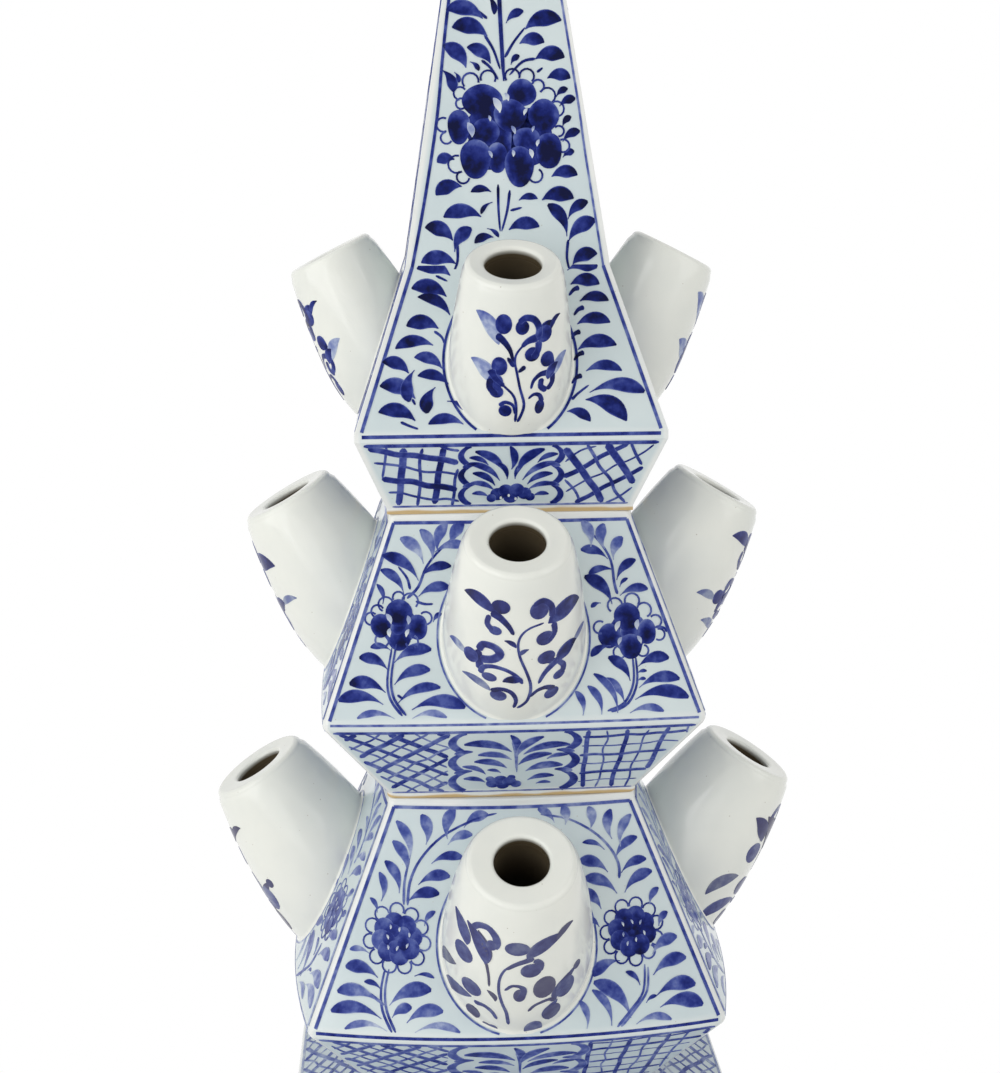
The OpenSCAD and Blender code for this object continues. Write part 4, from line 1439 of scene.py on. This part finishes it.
OBELISK = drawing(
    stems=[[(-3, 28), (-3, 20), (-2.5, 12)], [(1, 26), (0, 19), (-2, 12)], [(0, 71), (3, 76), (7, 81)],
           [(11, 66), (13, 67.5)], [(1, 19), (5, 20)], [(-17.5, 8), (-17.5, 2), (-19, -2)],
           [(21, 9), (20.5, 3), (21.5, -2)], [(-6, 84), (-9, 86.4), (-12, 88)],
           [(-7, 78.5), (-4, 73.5), (-1.8, 67)], [(10.5, 70.5), (6, 69.5), (1.5, 65)],
           [(-8, 70), (-5, 67.5), (-2.4, 63.5)]],
    hooks=[([(-1.8, 152), (-1.9, 120), (-1.7, 92), (-0.5, 63)], 2.0, 1.3)],
    beds=[(-2, 47, 12, 9), (-5, 40, 9, 7), (8, 44, 8, 10)],
    petals=[(-1.6, 43, 3.6, 8), (-7.2, 46, 4.6, 4.8), (7, 43.2, 5, 4), (-3.2, 37, 3.6, 5.2),
            (-8, 56.2, 6.6, 5.9), (5.6, 59.2, 5, 4.7), (13, 51.2, 5, 5.8), (1.5, 51.4, 5.4, 5.6),
            (-16.2, 47.6, 4, 5.9), (14.6, 39.4, 4.8, 6.1), (-10.6, 36.6, 5.4, 6.7), (4.4, 34, 5.1, 7)],
    gaps=[(-3.2, 54.6, 1.3), (-12.4, 46.4, 1.3), (-5.6, 38.2, 0.6), (6.9, 52.6, 0.6), (11, 42, 0.6),
          (2.2, 38.4, 0.6), (2.4, 46.4, 0.7), (8.4, 38.4, 0.8), (-5.6, 50.4, 0.5), (0.4, 57.6, 0.7),
          (9.4, 46.8, 0.5)],
    scallops=[(-12, 63, 2.8, 105), (-6, 64, 2.6, 85), (2.4, 64.6, 2.5, 100), (7.4, 64.6, 2.5, 70),
              (11.2, 61.4, 2.1, 45), (14.4, 58, 2.7, 40), (17.4, 53.6, 2.6, 15), (-15.6, 59, 2.2, 150),
              (-15.4, 55.4, 1.8, 190), (-21.6, 48.4, 2.4, 180), (-20.6, 44, 2.0, 215),
              (-17.2, 35, 3.0, 190), (19.6, 41, 2.2, 0), (10, 31, 2.4, -55), (-15, 30.6, 2.2, 235),
              (18.2, 46, 1.8, 20)],
    moons=[(-30, 1.5, -18, 1, 5.4), (-28.5, 13.5, -19, 9, 5.6), (-22, 17, -9, 17, 5.4),
           (-24.5, 24.6, -15.5, 27.5, 5.4), (-12.5, 25.5, -5.5, 25.5, 2.8), (-24, 35.5, -18, 36.5, 4.2),
           (-21.5, 75, -13.5, 67.5, 5.6), (-13, 74.5, -5, 69, 4.8), (-18, 81, -6, 78, 6),
           (-20, 87, -7.5, 84, 5.6), (-11.5, 8, -5, 10, 3.2), (22.5, 0.5, 31, 4, 5.2),
           (12, 22.5, 23, 23, 5.6), (15.5, 30.5, 24.5, 31, 4.8), (14.5, 64, 22.5, 64, 4.6),
           (10.5, 70.5, 20.5, 71, 5.6), (5, 75.6, 13.5, 76, 4.8), (7, 80.5, 19.5, 83.5, 6),
           (0.4, 12.5, 11, 13.5, 4.8), (4, 22.5, 10.5, 23, 2.6)],
    leaves=[(-18.5, 5, -12.5, 13, 4.8), (-22, 67, -18, 59.5, 3.8), (-6, 92, -3.6, 85.5, 2.2),
            (21, 8, 30.5, 15.5, 5.4), (20.5, 10, 14, 21, 4.4), (21, 16, 28, 22, 3.8),
            (19.5, 37, 23.5, 39, 2.6), (19.5, 42.5, 25.5, 46, 3.2), (19.5, 47.5, 22.5, 51, 2.4),
            (18.5, 54.5, 24, 57, 3.2), (17.5, 57.6, 21.5, 60.4, 2.4), (0.5, 82.5, 6.5, 86.5, 3),
            (2, 68.6, 5, 71.6, 2.2), (-12, 69.5, -9, 66.5, 1.8), (-17.5, 66, -16, 62.5, 1.6),
            (-5, 22, -9, 18, 1.6), (-7, 13, -3, 10, 1.6)]
    + [(side * 2, v, side * (25.5 - 0.135 * v), v + 3, 5.2 - 0.02 * v)
       for v in (93, 103, 113, 123, 132, 140, 147) for side in (-1, 1)], dark=0.88)
print("top panel and obelisk:", len(TOP_PANEL), "and", len(OBELISK), "strokes")

# %% [markdown]
# ## Sprigs on the spouts
#
# A sprig climbs the outside of each spout, with buds and leaves to the left and right. Its marks
# are laid out round the spout from its outermost line, and down from the mouth.

# %% Sprigs
SPRIGS = {
    "lower": drawing(
        stems=[[(-3.5, 62), (-4.2, 54), (-5.6, 48), (-6.8, 41), (-6.8, 34), (-5.3, 28.5), (-2, 25)],
               [(-11.4, 28), (-10.2, 34), (-9.7, 40)]],
        hooks=[([(-5.3, 28.5), (-2, 25), (3, 22.5)], 1.0, 2.6),
               ([(-5, 40), (-3, 37), (-0.4, 37.4), (0.4, 40), (-0.8, 45.5)], 0.8, 2.4),
               ([(2, 52.5), (4, 49), (8, 47.8), (10, 50)], 0.8, 2.0),
               ([(-7, 59.5), (-8.4, 55.4), (-11, 53), (-14, 54)], 0.9, 2.4),
               ([(-19, 17.5), (-16.4, 13), (-12.6, 11.6), (-9.6, 14), (-8.8, 17),
                (-9.8, 19.4)], 2.2, 3.0), ([(3.4, 23.5), (5.2, 26), (4.6, 29.6)], 2.2, 2.4),
               ([(-6, 85), (-6.2, 76), (-7.2, 69), (-9, 65.6)], 1.4, 3.0),
               ([(-9.4, 65.6), (-11.4, 70), (-12.4, 84)], 3.2, 2.8)],
        buds=[(-2.2, 17.8, 4, 3), (2.2, 28.8, 3.2, 3.4), (-10.6, 18.6, 1.8, 2.2), (-20, 30.6, 4, 4.4),
              (-0.8, 42.4, 1.8, 3.6), (6.4, 39.6, 3.5, 6), (13.4, 45, 3.4, 5.6), (18, 37.6, 1.6, 2),
              (-15.5, 46, 3.5, 4.2), (-14.5, 61.4, 2.5, 4), (3.8, 66, 2.8, 5.6), (9.2, 57, 2.9, 5)],
        leaves=[(1, 22.6, 14, 15.8, 5.6), (11, 17, 18.4, 14, 2.8), (-11.8, 29, -16, 15, 3.2),
                (-11.6, 28.6, -21, 15, 5.6), (-19, 25.5, -28.5, 17, 6), (9.6, 49.5, 18.4, 37.4, 4.2),
                (10.6, 50, 8.6, 62.4, 3.6), (-15, 51.6, -27, 63, 6), (-10.2, 42.6, -7.6, 47.6, 1.9)],
        pale=[(-22, 41, -31, 52.5, 5)],
        flip=-1, dark=0.59, shape=POINTED),
    "middle": drawing(
        stems=[[(0, 56.5), (2.5, 53.5), (3.6, 49), (3.6, 44), (2.2, 38), (0.2, 31.5), (-0.5, 26),
                (0.6, 22), (3.5, 19.5), (8, 18.6)]],
        hooks=[([(-1, 56.5), (-0.4, 52), (-2, 48), (-5, 46.8), (-8, 48.6)], 1.0, 2.2),
               ([(3.7, 51), (6, 48.2), (9, 47.8), (11.6, 50)], 1.0, 2.4),
               ([(1.2, 43.6), (-0.6, 40), (-4, 37.4), (-8, 36.8), (-11, 38.4), (-11.8, 41.4)], 1.1, 2.0),
               ([(6.3, 44.6), (8, 40.6), (11, 37.6), (14.4, 36)], 0.9, 3.4),
               ([(13, 37.4), (15, 40.6), (14.4, 43.6)], 1.8, 2.4),
               ([(-2, 22), (-3.6, 19), (-6.6, 16), (-10, 14.4)], 1.1, 3.2),
               ([(-10.6, 16), (-11, 19.4), (-8.8, 21.6)], 1.8, 2.2),
               ([(4.6, 11), (8, 9.8), (11.2, 12.8), (11.4, 17.4)], 1.6, 2.8),
               ([(11.6, 20), (11.8, 24), (9.4, 27)], 2.2, 1.8),
               ([(-13, 31.6), (-11.6, 28.4), (-8, 28.2), (-6, 30.6), (-8, 33.4), (-12, 35)], 2.4, 3.2),
               ([(-13, 31.6), (-12.6, 35), (-11.8, 40)], 2.2, 3.0),
               ([(8.6, 35), (11.6, 36.6)], 2.0, 2.4)],
        buds=[(-6, 50.4, 2.6, 2.7), (11, 52, 2.6, 2.8), (-9, 42, 2.4, 1.9), (-15.6, 35.4, 2.8, 3),
              (8.8, 33.5, 3, 2.7), (13.2, 43.8, 2.2, 2), (-6.8, 11.6, 3.4, 2.6), (-8, 21.4, 2.2, 1.7),
              (6.8, 13.2, 3.5, 3.5), (8.4, 25, 3.1, 2.8)],
        leaves=[(1.4, 42, -4.6, 42.8, 3.4), (12.6, 37.2, 21, 33.4, 5.8), (-9, 14.4, -22.5, 12.4, 4.8),
                (9.6, 19.4, 26, 19.4, 7.2), (-1, 27.4, -4.8, 24.8, 1.8), (0.2, 30.8, 3, 28.4, 1.7)],
        pale=[(-8.4, 48.6, -18.4, 45.6, 3.6), (-17.4, 36, -26, 36, 3.4), (19.6, 34.2, 28.5, 33, 3)],
        flip=-1, dark=0.76, shape=POINTED),
    "top": drawing(
        stems=[[(1.5, 50), (3, 46), (3.5, 42), (2, 36), (0.8, 30), (0, 26), (0.5, 23), (2.5, 20.5),
                (5, 18.6)], [(0.8, 50), (1, 44), (0, 39), (-3, 35.6), (-6, 33)]],
        hooks=[([(-0.4, 26), (-1.6, 22), (-3.8, 19), (-7, 16.6)], 0.9, 3.0),
               ([(2.4, 20.6), (5, 18.6), (9, 18)], 1.2, 3.4),
               ([(1.4, 12), (4, 10.4), (7.6, 11.4), (9.6, 14.6), (9.2, 18)], 2.0, 3.0),
               ([(9.2, 19.4), (8.8, 22.4), (6.6, 25)], 2.8, 2.4),
               ([(-2.6, 24.4), (-0.2, 27.6)], 1.2, 1.8), ([(1.4, 29.8), (3.8, 27.8)], 0.9, 2.0),
               ([(-3.4, 35.2), (-7, 32), (-8.4, 29.4)], 1.4, 3.6),
               ([(-8.4, 33), (-8.6, 36.4), (-6, 38.8)], 2.6, 2.6),
               ([(0.5, 46.4), (-0.3, 42.6), (-3, 41.4), (-5, 43)], 0.8, 1.6),
               ([(6, 36.6), (7, 33.6), (9.6, 31.8), (12.6, 32)], 0.8, 2.4),
               ([(14.4, 26), (14.6, 29.6), (13.6, 33)], 2.0, 3.0),
               ([(10, 33.6), (9.6, 36.6), (12, 38.8)], 2.2, 2.2),
               ([(14.8, 33), (14.6, 36.4), (12.4, 38.6)], 2.4, 2.0),
               ([(5, 40.4), (7, 39), (9.2, 40), (10.2, 43)], 0.8, 2.0)],
        buds=[(-4.6, 12.6, 3.3, 3.5), (2.8, 13.6, 2.7, 2.6), (11.6, 17.2, 3.6, 3), (6.6, 23.6, 2.9, 2.6),
              (-5.4, 27.8, 2.9, 3.4), (-6.6, 33.6, 2.8, 2.8), (-6.2, 37.4, 2.5, 2.4),
              (12.6, 26.8, 2.8, 2.8), (-3, 45, 2.3, 2.4), (9.6, 44.8, 1.9, 3)],
        leaves=[(9, 19, 17.4, 14.8, 5), (14.4, 16.4, 21, 13.2, 2), (12.6, 34.6, 17.6, 29.8, 4)],
        pale=[(-6, 20, -16.8, 10.2, 6), (-7, 35, -16.8, 27.6, 6), (15, 34.4, 23.4, 28.2, 4.4)],
        flip=-1, dark=0.86, shape=POINTED),
}
print({name: len(strokes) for name, strokes in SPRIGS.items()})


# %% The line round a spout's foot
def foot_line(spout, width, tone, gap=1.7):
    """A thin line on the wall round the foot of a spout, as the strokes of its panel."""
    tier = spout.tier
    ring = []
    for angle, s in spout.seam:
        foot = spout_point(spout, "right", angle, s)
        away = Vector((0, foot.y - spout.seam_middle.y, foot.z - spout.seam_middle.z)).normalized()
        z = foot.z + away.z * gap * 0.85
        v = (z - tier.edge_z) / (tier.slope_z - tier.edge_z) * tier.slope
        ring.append((foot.y + away.y * gap, v))
    half = SEAM_STEPS // 2
    parts = kept(ring[half:] + ring[:half], lambda u, v: 0.5 < v < tier.slope - 2.0)
    return [stroke(part, [width] * len(part), tone, 0.0) for part in parts if len(part) > 2]


print("foot lines:", [len(foot_line(spout, 0.7, 0.5)) for spout in SPOUTS.values()])

# %% [markdown]
# ## Painting the stack
#
# All that is left is to lay the drawings on their surfaces. The four sides have the same design,
# each with its own small slips of the hand. The left and right of the two lower vessels are painted
# paler, as painted glare where light glances off those walls, and a few sprigs are turned a little
# round their spouts. Each side of a vessel has one piece of brushwork for its panel and skirt and
# another for its sprig, and both ride on it.

# %% Paint the vessels
PANELS = {"lower": LOWER_PANEL, "middle": MIDDLE_PANEL, "top": TOP_PANEL}
SKIRT_TONES = {"lower": 0.60, "middle": 0.60, "top": 0.74}
FOLD_LINES = {"lower": (1.2, 0.64), "middle": (0.9, 0.44), "top": (1.3, 0.74)}
FOOT_LINES = {"lower": (0.7, 0.50), "middle": (0.7, 0.46), "top": (0.95, 0.68)}
SMOKE = {"lower": 0.66, "middle": 0.28, "top": 0.0}
SPRIG_TURN = {("middle", "left"): -8, ("middle", "right"): -1, ("lower", "right"): 3}
CAREFUL, FREE, SIDE_GLARE_PALING = 0.1, 0.5, 0.72
LEFT_INSET = ((0, 2.4), (22, 3.5), (50, 3.9), (70, 3.0), (90, 2.4), (125, 2.2), (160, 2.0))
RIGHT_INSET = ((0, 2.4), (22, 2.3), (40, 2.2), (55, 1.8), (90, 1.7), (125, 1.7), (160, 1.7))


def moved(strokes, scale, u=0.0, v=0.0):
    """A drawing at another size and place."""
    made = []
    for one in strokes:
        rows = [[(a * scale + u, b * scale + v, tone) for a, b, tone in row] for row in one.rows]
        made.append(SimpleNamespace(rows=rows, loose=one.loose, level=one.level))
    return made


def obelisk_edges(tier):
    """The lines up the obelisk, drawn at an uneven distance from its corners."""
    rise = math.hypot(tier.top - TIP, TIP_Z - tier.slope_z)
    lines = []
    for sign, insets, width, tone in ((-1, LEFT_INSET, 1.1, 0.72), (1, RIGHT_INSET, 0.8, 0.52)):
        path = [(sign * (tier.top + (TIP - tier.top) * v / rise - inset), v) for v, inset in insets]
        lines.append(stem(path, width, width, tone, 0.15, True))
    return lines


for name, tier in TIERS.items():
    skirt = math.hypot(tier.edge - tier.foot, tier.band_z - tier.joint - LIP)
    lines = skirt_drawing(tier.foot, tier.edge, skirt, name == "top", SKIRT_TONES[name])
    inset, high, ends = (2.4, 0, "none") if name == "top" else (2.2, 1.4, "high")
    border = frame_lines(tier.edge, tier.top, tier.slope, inset, high=high, width=1.2, ends=ends, tone=0.54)
    panel = PANELS[name] + border + foot_line(SPOUTS[name], *FOOT_LINES[name])
    fold = [ruled(tier.edge - 2.6, 1.9, *FOLD_LINES[name], 0.1)]
    sprig = SPRIGS[name]
    for seed, side in enumerate(SIDES):
        spread = CAREFUL if side == "front" else FREE
        # The left and right walls of the two lower vessels get paler tones: painted glare from light glancing
        # off them.
        load = SIDE_GLARE_PALING if side in ("left", "right") and name != "top" else 1.0
        jobs = [(panel_surface(tier, side), panel), (band_surface(tier, side), fold),
                (skirt_surface(tier, side), lines)]
        if name == "top":
            slab = slab_surface(side, (tier.top, tier.slope_z), (TIP, TIP_Z))
            jobs.append((slab, OBELISK + obelisk_edges(tier)))
        paint(f"{name}_brushwork_{side}", BODIES[name], jobs, seed + 3, spread, load=load)
        turned = moved(sprig, 1, SPRIG_TURN.get((name, side), 0))
        jobs = [(spout_surface(SPOUTS[name], side), turned)]
        paint(f"{name}_sprig_{side}", BODIES[name], jobs, seed + 11, spread, SMOKE[name])

# %% Paint the plinth
wall_slope = math.hypot(WALL_TOP - WALL_LOW, ROOF_LOW - FOOT_HIGH)
roof_slope = math.hypot(ROOF_HALF - SEAT_HALF, ROOF_HIGH - ROOF_EDGE)
ROOF_LOAD, FLOWER_LOW, FLOWER_HIGH, FLOWER_HALF = 0.5, 26, 68, 19


def in_flower(one):
    """Whether a stroke of the obelisk starts within its large flower."""
    u, v, tone = one.rows[0][1]
    return FLOWER_LOW < v < FLOWER_HIGH and abs(u) < FLOWER_HALF


def climber(u, low, high, tone=0.7):
    """An upright stem with a pair of leaves at every step."""
    made = [stem([(u, low), (u + 1.2, (low + high) / 2), (u, high)], 1.1, 0.8, tone)]
    for v in steps(low + 3, high - 8, 8):
        made += [leaf(u, v, u + side * 6.4, v + 4.4, 3.6, tone) for side in (-1, 1)]
    return made


flower = [one for one in OBELISK if in_flower(one)]
wall_lines = (moved(LOWER_PANEL, 0.84, 0, 2.5) + moved(flower, 0.95, 1, -9)
              + climber(-62, 5, wall_slope - 6) + climber(62, 5, wall_slope - 6)
              + bloom(-46, 0.76 * wall_slope, 0.6, 0, 0.74) + bloom(46, 0.76 * wall_slope, 0.6, 20, 0.74)
              + frame_lines(WALL_LOW, WALL_TOP, wall_slope, 3.6, low=3.0, high=3.4, width=1.1))


def on_roof(u, v):
    """Inside the lines of a roof panel."""
    return 2.4 < v < roof_slope - 2.4 and abs(u) < ROOF_HALF + (SEAT_HALF - ROOF_HALF) * v / roof_slope - 4.5


roof_lines = (lattice(on_roof, [((0, 0), 38.7, 0, 9.4, 1.8), ((0, 0), -38.7, 0, 9.4, 1.8)])
              + frame_lines(ROOF_HALF, SEAT_HALF, roof_slope, 3.6, low=1.8, high=1.8, tone=0.45))
for one in roof_lines:
    one.rows = [[(u, v, ROOF_LOAD * tone) for u, v, tone in row] for row in one.rows]
for seed, side in enumerate(SIDES):
    jobs = [(slab_surface(side, (WALL_LOW, FOOT_HIGH), (WALL_TOP, ROOF_LOW)), wall_lines),
            (slab_surface(side, (ROOF_HALF, ROOF_EDGE), (SEAT_HALF, ROOF_HIGH)), roof_lines)]
    paint(f"plinth_brushwork_{side}", "plinth", jobs, seed + 31, 0.4)

# %% [markdown]
